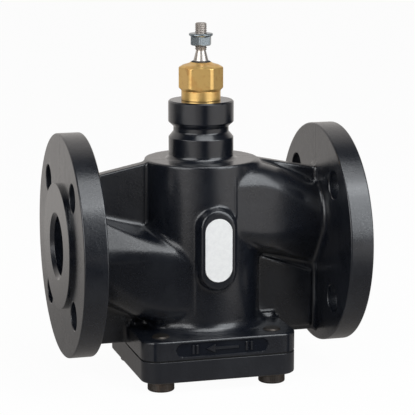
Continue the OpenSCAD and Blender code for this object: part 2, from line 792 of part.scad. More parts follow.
// One round wire wound up a helix, with its wire's cross-section in the radial plane
module packing_spring() {
    sides = 6;
    steps = 16;
    wire_r = spring_wire_d / 2;
    count = spring_turns * steps;
    rise = spring_l - spring_wire_d;
    points = [for (i = [0 : count], k = [0 : sides - 1])
        let (turn = i * 360 / steps, a = k * 360 / sides, r = spring_r + wire_r * cos(a))
        [r * cos(turn), r * sin(turn), spring_z0 + wire_r + rise * i / count + wire_r * sin(a)]];
    walls = [for (i = [0 : count - 1], k = [0 : sides - 1])
        let (a = i * sides + k, b = i * sides + (k + 1) % sides)
        each [[a, b, b + sides], [a, b + sides, a + sides]]];
    first_end = [for (k = [0 : sides - 1]) sides - 1 - k];
    last_end = [for (k = [0 : sides - 1]) count * sides + k];
    color(steel) polyhedron(points, concat(walls, [first_end, last_end]));
}

module spring_washer() {
    color(steel) ring(stem_free_r, packing_r, washer_z0, spring_z0);
}

// An internal retaining ring, open at one side between its two lugs
module retaining_ring() {
    r1 = packing_d / 2 + retainer_groove - fitted_gap;
    r0 = packing_d / 2 - retainer_t;
    gap = retainer_t * 2;
    color(steel) difference() {
        ring(r0, r1, retainer_z0, washer_z0);
        translate([0, -gap / 2, retainer_z0 - over]) cube([r1 + over, gap, retainer_t + 2 * over]);
    }
}

module neck_bush() {
    color(brass) ring(stem_bore_r, neck_bush_d / 2 - fitted_gap, roof_z, roof_z + neck_bush_l);
}

// The seat ring screws up into the bridge, with its raised lip on top
module seat_ring() {
    r0 = seat_bore_d / 2;
    r1 = seat_thread_d / 2 - fitted_gap;
    flange_z1 = bridge_z0 - seat_gasket_t;
    color(steel) rotate_extrude() polygon([[r0, flange_z1 - seat_flange_t],
        [seat_flange_d / 2, flange_z1 - seat_flange_t], [seat_flange_d / 2, flange_z1],
        [r1, flange_z1], [r1, bridge_z1], [r0 + seat_lip_t, bridge_z1],
        [r0 + seat_lip_t, seal_z0], [r0, seal_z0]]);
}

module seat_gasket() {
    color(fibre) ring(seat_thread_d / 2 + fitted_gap, seat_flange_d / 2, bridge_z0 - seat_gasket_t,
        bridge_z0);
}

// The cage guides the plug, and lets the flow in through its windows
module balance_cage() {
    z1 = roof_z - cage_gasket_t;
    color(steel) difference() {
        ring(cage_r0, cage_r1, bridge_z1, z1);
        for (i = [0 : cage_windows - 1]) rotate([0, 0, i * 360 / cage_windows])
            translate([0, -window_w / 2, bridge_z1 + window_sill])
                cube([cage_r1 + over, window_w, window_h]);
    }
}

module cage_gasket() {
    color(fibre) ring(cage_r0 + fitted_gap, cage_r1, roof_z - cage_gasket_t, roof_z);
}

module stem() {
    color(steel) rotate_extrude() polygon([[0, stem_z0], [thread_r - stem_edge, stem_z0],
        [thread_r, stem_z0 + stem_edge], [thread_r, stem_shoulder_z], [stem_r, stem_shoulder_z],
        [stem_r, cone_foot_z], [thread_r, thread_z0], [thread_r, stem_z1 - stem_edge],
        [thread_r - stem_edge, stem_z1], [0, stem_z1]]);
}

// A flange nut, flange upwards, that locks what is screwed on the stem
module lock_nut() {
    corner_r = nut_w / 2 / cos(30);
    flange_z = nut_z0 + nut_h;
    z1 = flange_z + nut_flange_t;
    edge = corner_r - nut_w / 2;
    color(zinc) difference() {
        union() {
            intersection() {
                hexagon(nut_w, nut_z0, z1, nut_turn);
                rotate_extrude() polygon([[0, nut_z0], [nut_w / 2, nut_z0],
                    [corner_r, nut_z0 + edge], [corner_r, z1], [0, z1]]);
            }
            rotate_extrude() polygon([[0, flange_z - nut_flange_t], [nut_w / 2, flange_z - nut_flange_t],
                [nut_flange_d / 2, flange_z], [nut_flange_d / 2, z1], [0, z1]]);
        }
        bar(thread_r + stem_gap, nut_z0 - over, z1 + over);
    }
}

module balance_bores(z0, z1) {
    for (i = [0 : balance_holes - 1]) rotate([0, 0, i * 360 / balance_holes])
        translate([balance_circle_d / 2, 0, 0]) bar(balance_hole_d / 2, z0 - over, z1 + over);
}

// The piston part of the plug, with a groove for its ring and a seat for the stem
module balanced_plug() {
    r = plug_d / 2;
    color(steel) difference() {
        rotate_extrude() polygon([[0, plug_z0], [r, plug_z0], [r, ring_groove_z0],
            [ring_groove_r, ring_groove_z0], [ring_groove_r, ring_groove_z1], [r, ring_groove_z1],
            [r, plug_z1], [0, plug_z1]]);
        bar(stem_r + fitted_gap, stem_shoulder_z, plug_z1 + over);
        bar(thread_r + fitted_gap, plug_z0 - over, plug_z1);
        balance_bores(plug_z0, plug_z1);
    }
}

module plug_seal() {
    color(ptfe) ring(seal_spigot_d / 2 + fitted_gap, plug_d / 2, seal_z0, plug_z0);
}

// The cone shapes the flow as it leaves the seat: its side is a parabola
module throttling_cone() {
    steps = 8;
    end_r = cone_end_d / 2;
    side = [for (i = [0 : steps]) let (t = i / steps)
        [cone_r - (cone_r - end_r) * t * t, cone_rim_z0 - cone_h * t]];
    color(brass) difference() {
        rotate_extrude() polygon(concat([[0, plug_z0], [seal_spigot_d / 2, plug_z0],
            [seal_spigot_d / 2, seal_z0], [cone_r, seal_z0]], side, [[0, cone_z0]]));
        bar(thread_r + fitted_gap, cone_z0 - over, plug_z0 + over);
        balance_bores(cone_z0, plug_z0);
    }
}

module plug_washer() {
    color(zinc) ring(thread_r + fitted_gap, plug_washer_d / 2, plug_nut_z1, cone_z0);
}

module plug_nut() {
    color(zinc) difference() {
        hexagon(plug_nut_w, plug_nut_z1 - plug_nut_h, plug_nut_z1, 0);
        bar(thread_r + fitted_gap, plug_nut_z1 - plug_nut_h - over, plug_nut_z1 + over);
    }
}

module piston_ring() {
    color(ptfe) ring(ring_r0, ring_r1, ring_groove_z0 + ring_side_gap, ring_groove_z1 - ring_side_gap);
}

// The O-ring that presses the piston ring outwards
module ring_energiser() {
    r = energiser_t / 2;
    color(rubber) translate([0, 0, (ring_groove_z0 + ring_groove_z1) / 2]) rotate_extrude()
        translate([ring_groove_r + r, 0]) circle(r = r, $fn = ring_fn);
}

valve_body();
bottom_cover();
cover_gasket();
cover_screws();
name_plate();
gland_housing();
gland_o_ring();
stem_wiper();
gland_bush();
packing_rings();
packing_follower();
packing_spring();
spring_washer();
retaining_ring();
neck_bush();
seat_ring();
seat_gasket();
balance_cage();
cage_gasket();
stem();
lock_nut();
balanced_plug();
plug_seal();
throttling_cone();
plug_washer();
plug_nut();
piston_ring();
ring_energiser();
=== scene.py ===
"""A flanged globe valve in its painted finish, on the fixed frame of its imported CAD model.

Each sub-assembly is a class that keeps its own sizes in millimetres, works out its surfaces with
numpy, and dresses them. The casting's middle is one smooth union of its barrel, passages, webs and
boss, because its fillets run over all of them. Flanges, plates, neck, gland, stem and screws are
grids of two parameters that meet it.
"""

import json
import logging
import math
from dataclasses import dataclass, field
from enum import Enum
from functools import reduce
from typing import Callable, Iterable, Sequence, Union

import bpy
import numpy as np
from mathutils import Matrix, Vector

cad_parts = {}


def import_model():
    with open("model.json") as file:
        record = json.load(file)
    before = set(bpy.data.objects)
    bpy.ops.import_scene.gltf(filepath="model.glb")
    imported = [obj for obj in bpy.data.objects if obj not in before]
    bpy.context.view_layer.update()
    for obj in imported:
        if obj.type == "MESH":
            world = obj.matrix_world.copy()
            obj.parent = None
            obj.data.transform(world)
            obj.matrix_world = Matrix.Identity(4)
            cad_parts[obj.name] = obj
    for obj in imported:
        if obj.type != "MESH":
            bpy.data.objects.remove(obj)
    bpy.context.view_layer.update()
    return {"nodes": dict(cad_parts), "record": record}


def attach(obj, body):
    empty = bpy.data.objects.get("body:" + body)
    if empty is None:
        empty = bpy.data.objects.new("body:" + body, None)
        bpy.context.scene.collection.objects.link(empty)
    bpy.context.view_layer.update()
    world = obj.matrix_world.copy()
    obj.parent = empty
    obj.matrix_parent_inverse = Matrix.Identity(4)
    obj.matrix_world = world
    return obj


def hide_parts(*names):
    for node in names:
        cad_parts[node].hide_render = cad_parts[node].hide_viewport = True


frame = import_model()

LOG = logging.getLogger("globe_valve")
MM = 0.001
AXIS_Z = 93.0
THREAD_DEPTH = 0.45  # of its pitch
BATCH = 40000  # points that are measured at once, to spare memory
COARSE, FINE = 48, 240  # directions tried in the passages, for finding and for placing the surface
SLIDES = 5  # times that each point of a blended surface slides onto it
Array = np.ndarray
Colour = tuple[float, float, float]


class Body(Enum):
    """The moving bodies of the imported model."""

    VALVE = "valve"
    SPINDLE = "stem_and_plug"
    NUT = "nut"


class Lay(Enum):
    """The way that tool marks run on a metal face."""

    TURNED = "rings round the stem axis"
    TUMBLED = "no direction"


# ---- Surfaces -------------------------------------------------------------------------------


def half_turned(p: Array) -> Array:
    """Points turned half round the Y axis through the pipe axis, from the inlet to the outlet."""
    return p * [-1, 1, -1] + [0, 0, 2 * AXIS_Z]


@dataclass
class Skin:
    """Points in millimetres and faces of one surface; a triangle has -1 in its fourth place."""

    points: Array
    faces: Array

    @classmethod
    def grid(cls, points: Array, ring_rows: bool = False, ring_columns: bool = False) -> "Skin":
        """Join neighbouring points of a grid into quads.

        Args:
            points: an array of (rows, columns, 3).
            ring_rows: True where the last row meets the first.
            ring_columns: True where the last column meets the first.

        Returns:
            The surface, with (row, column) corners (i, j), (i, j+1), (i+1, j+1), (i+1, j).
        """
        rows, columns = points.shape[:2]
        index = np.arange(rows * columns).reshape(rows, columns)
        if ring_rows:
            index = np.vstack([index, index[:1]])
        if ring_columns:
            index = np.hstack([index, index[:, :1]])
        faces = np.stack([index[:-1, :-1], index[:-1, 1:], index[1:, 1:], index[1:, :-1]], axis=-1)
        return cls(points.reshape(-1, 3).astype(float), faces.reshape(-1, 4))

    def __add__(self, other: "Skin") -> "Skin":
        """Both surfaces in one."""
        moved = np.where(other.faces < 0, -1, other.faces + len(self.points))
        return Skin(np.vstack([self.points, other.points]), np.vstack([self.faces, moved]))

    def welded(self, reach: float = 1e-4) -> "Skin":
        """Merge points that share a place, and drop what collapses.

        Args:
            reach: the size of a place, in millimetres.

        Returns:
            The surface with its seams and poles closed.
        """
        places = np.round(self.points / reach).astype(np.int64)
        _, first, back = np.unique(places, axis=0, return_index=True, return_inverse=True)
        back = back.reshape(-1)
        faces = np.where(self.faces < 0, -1, back[self.faces])
        quads = faces[faces[:, 3] >= 0]
        triangles = faces[faces[:, 3] < 0][:, :3]
        same = quads == np.roll(quads, -1, axis=1)
        count = same.sum(axis=1)
        whole = quads[(count == 0) & (quads[:, 0] != quads[:, 2]) & (quads[:, 1] != quads[:, 3])]
        pinched = quads[count == 1]
        start = same[count == 1].argmax(axis=1)[:, None]
        order = (start + 1 + np.arange(3)[None, :]) % 4
        triangles = np.vstack([triangles, np.take_along_axis(pinched, order, axis=1)])
        split = (triangles[:, 0] != triangles[:, 1]) & (triangles[:, 1] != triangles[:, 2])
        triangles = triangles[split & (triangles[:, 0] != triangles[:, 2])]
        triangles = np.hstack([triangles, np.full((len(triangles), 1), -1, dtype=triangles.dtype)])
        return Skin(self.points[first], np.vstack([whole, triangles]))

    def volume(self) -> float:
        """The signed volume, positive where the faces of a closed surface point outwards."""
        total = 0.0
        for corners in (self.faces[:, [0, 1, 2]], self.faces[self.faces[:, 3] >= 0][:, [0, 2, 3]]):
            a, b, c = (self.points[corners[:, k]] for k in range(3))
            total += float(np.einsum("ij,ij->i", a, np.cross(b, c)).sum()) / 6
        return total

    def flipped(self) -> "Skin":
        """The same surface with its faces turned round."""
        quads = self.faces[:, 3] >= 0
        faces = self.faces.copy()
        faces[quads] = faces[quads][:, ::-1]
        faces[~quads, :3] = faces[~quads][:, [2, 1, 0]]
        return Skin(self.points, faces)

    def outward(self) -> "Skin":
        """The same closed surface with its faces outwards."""
        return self if self.volume() > 0 else self.flipped()

    def turned_half(self) -> "Skin":
        """The surface turned half round, as the outlet is."""
        return Skin(half_turned(self.points), self.faces)

    def shifted(self, x: float, y: float, z: float = 0.0) -> "Skin":
        """The surface moved by x, y and z."""
        return Skin(self.points + [x, y, z], self.faces)

    def kept(self, wanted: Callable[[Array], Array]) -> "Skin":
        """The faces whose middle passes the test wanted, which takes an array of points."""
        middle = self.points[self.faces[:, :3]].mean(axis=1)
        return Skin(self.points, self.faces[wanted(middle)])

    def to_object(self, name: str, material: bpy.types.Material,
                  crease: float = 32.0) -> bpy.types.Object:
        """Put the surface into the scene.

        Args:
            name: the object's name.
            material: its finish.
            crease: the angle in degrees past which an edge stays sharp.

        Returns:
            The new object, at the origin.
        """
        mesh = bpy.data.meshes.new(name)
        used, faces = np.unique(self.faces[self.faces >= 0], return_inverse=True)
        mesh.vertices.add(len(used))
        mesh.vertices.foreach_set("co", (self.points[used] * MM).astype(np.float32).ravel())
        size = (self.faces >= 0).sum(axis=1)
        mesh.loops.add(int(size.sum()))
        mesh.loops.foreach_set("vertex_index", faces.reshape(-1).astype(np.int32))
        mesh.polygons.add(len(size))
        mesh.polygons.foreach_set("loop_start", (np.cumsum(size) - size).astype(np.int32))
        mesh.update(calc_edges=True)
        mesh.validate()
        mesh.shade_smooth()
        mesh.set_sharp_from_angle(angle=math.radians(crease))
        mesh.materials.append(material)
        piece = bpy.data.objects.new(name, mesh)
        bpy.context.scene.collection.objects.link(piece)
        LOG.info("%s: %d points, %d faces in %s", name, len(used), len(size), material.name)
        return piece


def eased(corners: Sequence[tuple[float, float, float]], steps: int = 5) -> Array:
    """Round the corners of a path.

    Each corner (a, b, radius) is turned by an arc about the point that lies radius away from both
    of its sides. A point just before and just after each arc keeps the shading of flats flat.

    Args:
        corners: the path's corners, with a radius of zero where the corner stays.
        steps: the parts that each arc has.

    Returns:
        An array of (count, 2).
    """
    places = np.array(corners, dtype=float)
    out: list[Array] = []
    for k, (a, b, radius) in enumerate(places):
        here = np.array([a, b])
        if radius <= 0 or k in (0, len(places) - 1):
            out.append(here[None])
            continue
        back = places[k - 1, :2] - here
        ahead = places[k + 1, :2] - here
        back, ahead = back / np.linalg.norm(back), ahead / np.linalg.norm(ahead)
        half = math.acos(float(np.clip(back @ ahead, -1, 1))) / 2
        centre = here + (back + ahead) / np.linalg.norm(back + ahead) * radius / math.sin(half)
        first, last = here + back * radius / math.tan(half), here + ahead * radius / math.tan(half)
        u, v = (first - centre) / radius, (last - centre) / radius
        sweep = math.acos(float(np.clip(u @ v, -1, 1)))
        t = np.linspace(0, 1, steps + 1)[:, None]
        swung = np.sin((1 - t) * sweep) * u + np.sin(t * sweep) * v
        arc = centre + radius * swung / math.sin(sweep)
        hold = radius * 0.2
        out.append(np.vstack([first + back * hold, arc, last + ahead * hold]))
    return np.vstack(out)


def ringed(rows: Iterable[tuple[Union[Array, float], float]], angle: Array,
           ring_rows: bool = False) -> Skin:
    """Join rings round the stem axis: x = r cos a, y = r sin a, z = height.

    Args:
        rows: the radius, as one number or one for each angle, and the height of each ring.
        angle: the angles in each ring.
        ring_rows: True where the last ring meets the first.

    Returns:
        The closed surface, with its faces outwards.
    """
    points = np.stack([np.stack([r * np.cos(angle), r * np.sin(angle), z + 0 * angle], axis=-1)
                       for r, z in rows])
    return Skin.grid(points, ring_rows, True).welded().outward()


def turned(profile: Array, columns: int) -> Skin:
    """Carry a closed profile of (radius, height) round the stem axis."""
    return ringed(profile, np.linspace(0, 2 * np.pi, columns, endpoint=False))


def turned_on_pipe(profile: Array, columns: int = 160) -> Skin:
    """Carry a closed profile of (radius, x) round the pipe: y = r cos a, z = axis + r sin a."""
    a = np.linspace(0, 2 * np.pi, columns, endpoint=False)
    r, x = profile[:, :1], profile[:, 1:]
    points = np.stack([x + 0 * a, r * np.cos(a), AXIS_Z + r * np.sin(a)], axis=-1)
    return Skin.grid(points, ring_columns=True).welded().outward()


def hexagon_reach(angle: Array, width: float, turn: float) -> Array:
    """A hexagon's radius at each angle: half its width over the cosine of the angle to a flat."""
    off = (angle - math.radians(turn)) % (math.pi / 3) - math.pi / 6
    return width / 2 / np.cos(off)


def soft_least(a: float, b: Array, soft: float) -> Array:
    """The smaller of a and b, joined by a parabola where they are less than soft apart."""
    share = np.clip(0.5 + 0.5 * (a - b) / soft, 0, 1)
    return a + (b - a) * share - soft * share * (1 - share)


def threaded(radius: float, pitch: float, z0: float, z1: float, end_drop: float,
             columns: int = 40, rows: int = 8) -> Skin:
    """A screw thread up the stem axis.

    Row v and angle a give the height v + pitch * a / turn, held between z0 and z1, and the radius
    falls from the crest by the thread's depth times a wave of v / pitch. So each crest runs along
    a row. At both ends the radius is cut to a cone that falls by end_drop.

    Args:
        radius: the thread's outer radius.
        pitch: its rise per turn.
        z0: its lowest height.
        z1: its highest height.
        end_drop: the width of the chamfer at its ends.
        columns: the parts of one turn.
        rows: the parts of one pitch.

    Returns:
        A closed surface.
    """
    depth = THREAD_DEPTH * pitch
    count = int(math.ceil((z1 - z0) / pitch)) + 2
    v = z0 - pitch + np.arange(count * rows + 1) * pitch / rows
    a = np.linspace(0, 2 * np.pi, columns + 1)
    height = np.clip(v[:, None] + pitch * a[None, :] / (2 * np.pi), z0, z1)
    phase = np.arange(len(v)) % rows / rows
    wave = np.clip(np.abs(phase * 2 - 1) * 1.25 - 0.125, 0, 1)
    r = radius - depth * wave[:, None] + 0 * height
    r = np.minimum(r, radius - end_drop + np.minimum(height - z0, z1 - height))
    points = np.stack([r * np.cos(a), r * np.sin(a), height], axis=-1)
    low, high = (np.zeros_like(points[:1]) + [0, 0, z] for z in (z0, z1))
    return Skin.grid(np.vstack([low, points, high])).welded().outward()


# ---- Blended forms --------------------------------------------------------------------------


def mixed(a: Array, b: Array, u: Array, v: Array, plain: Array) -> Array:
    """Directions a and b mixed by weights u and v, or plain where either weight is nothing."""
    total = a * u[:, None] + b * v[:, None]
    length = np.linalg.norm(total, axis=1)[:, None]
    both = ((u > 0) & (v > 0))[:, None] & (length > 1e-6)
    return np.where(both, total / np.maximum(length, 1e-6), plain)


@dataclass
class Form:
    """Signed distances to a solid at many points, negative inside, and the directions away."""

    distance: Array
    away: Array

    def joined(self, other: "Form", radius: float) -> "Form":
        """Join two solids with a round fillet.

        With u and v the depths of a point under the surfaces offset by the radius, the distance is
        the larger of radius and the smaller distance, less the length of (u, v). The radius
        shrinks to nothing as the two surfaces turn to face the same way, so that no lump grows
        where they run together.

        Args:
            other: the second solid, at the same points.
            radius: the fillet's radius, in millimetres.

        Returns:
            The joined solid.
        """
        along = np.einsum("ij,ij->i", self.away, other.away)
        reach = radius * np.clip(1 - along, 0.02, 1)
        u = np.maximum(reach - self.distance, 0)
        v = np.maximum(reach - other.distance, 0)
        distance = np.maximum(reach, np.minimum(self.distance, other.distance)) - np.hypot(u, v)
        plain = np.where((self.distance < other.distance)[:, None], self.away, other.away)
        return Form(distance, mixed(self.away, other.away, u, v, plain))

    def met(self, other: "Form", edge: float) -> "Form":
        """The common part of two solids with its edge rounded by a radius.

        With a and b the distances plus that radius, it is the length of their parts over zero, or
        the larger of them where both are under zero, less the radius.

        Args:
            other: the second solid, at the same points.
            edge: the radius, in millimetres.

        Returns:
            The common part.
        """
        a, b = self.distance + edge, other.distance + edge
        u, v = np.maximum(a, 0), np.maximum(b, 0)
        distance = np.hypot(u, v) + np.minimum(np.maximum(a, b), 0) - edge
        plain = np.where((a > b)[:, None], self.away, other.away)
        return Form(distance, mixed(self.away, other.away, u, v, plain))

    def cut(self, distance: Array, away: Union[Array, Sequence[float]]) -> "Form":
        """The common part with a second solid's distance and direction, its edge sharp."""
        past = (distance > self.distance)[:, None]
        return Form(np.maximum(distance, self.distance), np.where(past, away, self.away))


def bar(p: Array, low_r: float, high_r: float, z0: float, z1: float, edge: float = 0.0) -> Form:
    """A round bar up the stem axis, from low_r at z0 to high_r at z1, with its edges rounded."""
    across = np.hypot(p[:, 0], p[:, 1])
    radius = low_r + (high_r - low_r) * (p[:, 2] - z0) / (z1 - z0)
    side = p * [1, 1, 0] / np.maximum(across, 1e-6)[:, None]
    middle = (z0 + z1) / 2
    end = np.where(p[:, 2:] < middle, -1, 1) * [0, 0, 1]
    ends = Form(np.abs(p[:, 2] - middle) - (z1 - z0) / 2, end)
    return Form(across - radius, side).met(ends, edge)


@dataclass(frozen=True)
class Plate:
    """An upright plate in the middle plane of the casting.

    half is half its thickness, outline the corners (x, z) of a convex shape in clockwise order,
    edge the radius of its edges, and fillet the radius where it joins the casting.
    """

    half: float
    outline: tuple[tuple[float, float], ...]
    edge: float
    fillet: float


def upright(p: Array, plate: Plate) -> Form:
    """A plate as a form: the part inside all the lines through neighbouring corners.

    Args:
        p: the points.
        plate: the plate.

    Returns:
        The plate's form.
    """
    corners = np.array(plate.outline, dtype=float)
    ahead = np.roll(corners, -1, axis=0) - corners
    normal = np.stack([-ahead[:, 1], ahead[:, 0]], axis=1) / np.linalg.norm(ahead, axis=1)[:, None]
    depth = p[:, [0, 2]] @ normal.T - np.einsum("ij,ij->i", corners, normal)[None, :]
    which = depth.argmax(axis=1)
    away, face = np.zeros_like(p), np.sign(p) * [0, 1, 0]
    away[:, [0, 2]] = normal[which]
    return Form(depth.max(axis=1), away).met(Form(np.abs(p[:, 1]) - plate.half, face), plate.edge)


@dataclass
class Passage:
    """The inlet passage: a loft of convex sections, each given by its support in all directions."""

    stations: tuple[float, float, float] = (14.0, 39.0, 82.0)
    root: tuple[float, float, float] = (35.4, 54.0, 3.0)
    middle: tuple[float, float, float] = (31.5, 52.0, 6.5)
    corner_r: float = 15.0
    middle_keel: tuple[float, float] = (12.0, 9.0)
    end_round_r: float = 23.0
    end_top: float = 34.5
    end_keel: tuple[float, float] = (23.0, 6.0)
    inset: float = 0.0
    start_slope: float = 0.7

    def _discs(self) -> list[Array]:
        """The discs (y, height over the axis, radius) that each section is wrapped round."""
        out, r = [], self.corner_r
        for side, top, low in (self.root, self.middle):
            places = [(s * (side - r), h) for s in (-1, 1) for h in (top - r, r - low)]
            out.append([(*place, r - self.inset) for place in places])
        if not self.inset:
            depth, r = self.middle_keel
            out[1].append((0.0, r - depth, r))
        depth, r = self.end_keel
        out.append([(0.0, self.end_top - self.end_round_r, self.end_round_r - self.inset),
                    (0.0, r - depth, r - self.inset)])
        return [np.array(discs) for discs in out]

    def form(self, p: Array, directions: int) -> Form:
        """Distances to the passage.

        A section is convex, so the distance is the largest over all directions n of n.p less the
        support h(n), where h is the largest n.centre + radius of its discs. Between the stations h
        follows a cubic through the three sections, and before the first it shrinks to a point, so
        that the passage starts well inside the barrel.

        Args:
            p: the points, in millimetres.
            directions: the number of directions that are tried.

        Returns:
            The passage as a form.
        """
        a = np.linspace(0, 2 * np.pi, directions, endpoint=False)
        n = np.stack([np.cos(a), np.sin(a)])
        h = np.stack([(discs[:, :2] @ n + discs[:, 2:]).max(axis=0) for discs in self._discs()])
        x0, x1, x2 = self.stations
        first, second = (h[1] - h[0]) / (x1 - x0), (h[2] - h[1]) / (x2 - x1)
        slope = (first + second) / 2
        distance = np.empty(len(p))
        away = np.empty((len(p), 3))
        for low in range(0, len(p), BATCH):
            q = p[low:low + BATCH]
            x = np.clip(q[:, 0], x0, x2)[:, None]
            before = np.maximum(x0 - q[:, 0], 0)[:, None]
            near = x < x1
            span = np.where(near, x1 - x0, x2 - x1)
            t = (x - np.where(near, x0, x1)) / span
            ha, hb = np.where(near, h[0], h[1]), np.where(near, h[1], h[2])
            ma = np.where(near, first, slope) * span
            mb = np.where(near, slope, second) * span
            support = ((2 * t - 3) * t * t + 1) * ha + ((t - 2) * t + 1) * t * ma \
                + (3 - 2 * t) * t * t * hb + (t - 1) * t * t * mb - before * self.start_slope
            gap = q[:, 1:2] * n[0] + (q[:, 2:3] - AXIS_Z) * n[1] - support
            which = gap.argmax(axis=1)
            rows = np.arange(len(q))
            rise = (6 * t * (t - 1) * ha + ((3 * t - 4) * t + 1) * ma
                    - 6 * t * (t - 1) * hb + (3 * t - 2) * t * mb)[rows, which] / span[:, 0]
            rise = np.where(before[:, 0] > 0, self.start_slope, rise)
            length = np.sqrt(1 + rise ** 2)
            distance[low:low + BATCH] = gap[rows, which] / length
            normal = np.stack([-rise, n[0][which], n[1][which]], axis=1)
            away[low:low + BATCH] = normal / length[:, None]
        return Form(distance, away)


def half_turned_form(make: Callable[[Array], Form], p: Array) -> Form:
    """The form that make gives, turned half round, at the points p."""
    form = make(half_turned(p))
    return Form(form.distance, form.away * [-1, 1, -1])


def skinned(form: Callable[[Array, int], Form], low: Sequence[float], high: Sequence[float],
            cell: float) -> Skin:
    """The surface where a form's distance is zero.

    The box is cut into cubes. Each cube that the surface crosses gets one point, at the mean of
    the crossings on its edges, and each crossed edge joins the points of its four cubes. Then each
    point slides along the form's own direction until its distance is zero.

    Args:
        form: gives the form at points, for a number of directions in the passages.
        low: the box's lowest corner.
        high: its highest corner.
        cell: the cubes' size, in millimetres.

    Returns:
        The closed surface, facing out of the solid.
    """
    low_corner = np.array(low, dtype=float)
    shape = np.ceil((np.array(high) - low_corner) / cell).astype(int) + 1
    axes = [low_corner[k] + cell * np.arange(shape[k]) for k in range(3)]
    places = np.stack(np.meshgrid(*axes, indexing="ij"), axis=-1).reshape(-1, 3)
    value = form(places, COARSE).distance.reshape(shape)
    value = np.where(np.abs(value) < 1e-6, 1e-6, value)
    cells = shape - 1
    total = np.zeros((*cells, 3))
    count = np.zeros(cells)
    crossings = []
    for k in range(3):
        a = value[tuple(slice(0, -1) if m == k else slice(None) for m in range(3))]
        b = value[tuple(slice(1, None) if m == k else slice(None) for m in range(3))]
        inner = tuple(slice(None) if m == k else slice(1, -1) for m in range(3))
        a, b = a[inner], b[inner]
        crossed = np.argwhere((a < 0) != (b < 0))
        t = a[tuple(crossed.T)] / (a[tuple(crossed.T)] - b[tuple(crossed.T)])
        node = crossed.copy()
        node[:, [m for m in range(3) if m != k]] += 1
        point = node.astype(float)
        point[:, k] += t
        others = [m for m in range(3) if m != k]
        around = []
        for dm, dn in ((1, 1), (0, 1), (0, 0), (1, 0)):
            home = node.copy()
            home[:, others[0]] -= dm
            home[:, others[1]] -= dn
            np.add.at(total, tuple(home.T), point)
            np.add.at(count, tuple(home.T), 1)
            around.append(np.ravel_multi_index(tuple(home.T), tuple(cells)))
        rising = a[tuple(crossed.T)] < 0
        if k == 1:
            rising = ~rising
        quad = np.stack(around, axis=1)
        quad[~rising] = quad[~rising][:, ::-1]
        crossings.append(quad)
    used = np.flatnonzero(count.reshape(-1))
    points = low_corner + cell * total.reshape(-1, 3)[used] / count.reshape(-1)[used][:, None]
    faces = np.searchsorted(used, np.vstack(crossings))
    for _ in range(SLIDES):
        here = form(points, FINE)
        points = points - np.clip(here.distance, -cell / 2, cell / 2)[:, None] * here.away
    return Skin(points, faces).outward()


# ---- Shader building ------------------------------------------------------------------------


Value = Union["Wire", float, int, Sequence[float], bpy.types.NodeSocket]


class Wire:
    """A socket that takes part in Python arithmetic and adds a Math node for each step."""

    def __init__(self, tree: "Graph", socket: bpy.types.NodeSocket) -> None:
        """Wrap an output socket of a node tree."""
        self.tree, self.socket = tree, socket

    def _math(self, operation: str, *values: Value) -> "Wire":
        """One Math node with the given operation."""
        return self.tree.add("ShaderNodeMath", {"operation": operation}, dict(enumerate(values)))

    def __add__(self, other: Value) -> "Wire":
        """self + other"""
        return self._math("ADD", self, other)

    def __sub__(self, other: Value) -> "Wire":
        """self - other"""
        return self._math("SUBTRACT", self, other)

    def __mul__(self, other: Value) -> "Wire":
        """self * other"""
        return self._math("MULTIPLY", self, other)

    def __rsub__(self, other: Value) -> "Wire":
        """other - self"""
        return self._math("SUBTRACT", other, self)

    def __pow__(self, other: Value) -> "Wire":
        """self ** other"""
        return self._math("POWER", self, other)

    def __abs__(self) -> "Wire":
        """abs(self)"""
        return self._math("ABSOLUTE", self)

    __radd__ = __add__
    __rmul__ = __mul__

    def limited(self) -> "Wire":
        """The value held between 0 and 1."""
        return self.tree.add("ShaderNodeClamp", {}, {"Value": self})

    def between(self, low: float, high: float) -> "Wire":
        """0 below low, 1 above high, and a smooth rise between."""
        settings = {"interpolation_type": "SMOOTHSTEP"}
        return self.tree.add("ShaderNodeMapRange", settings,
                             {"Value": self, "From Min": low, "From Max": high})


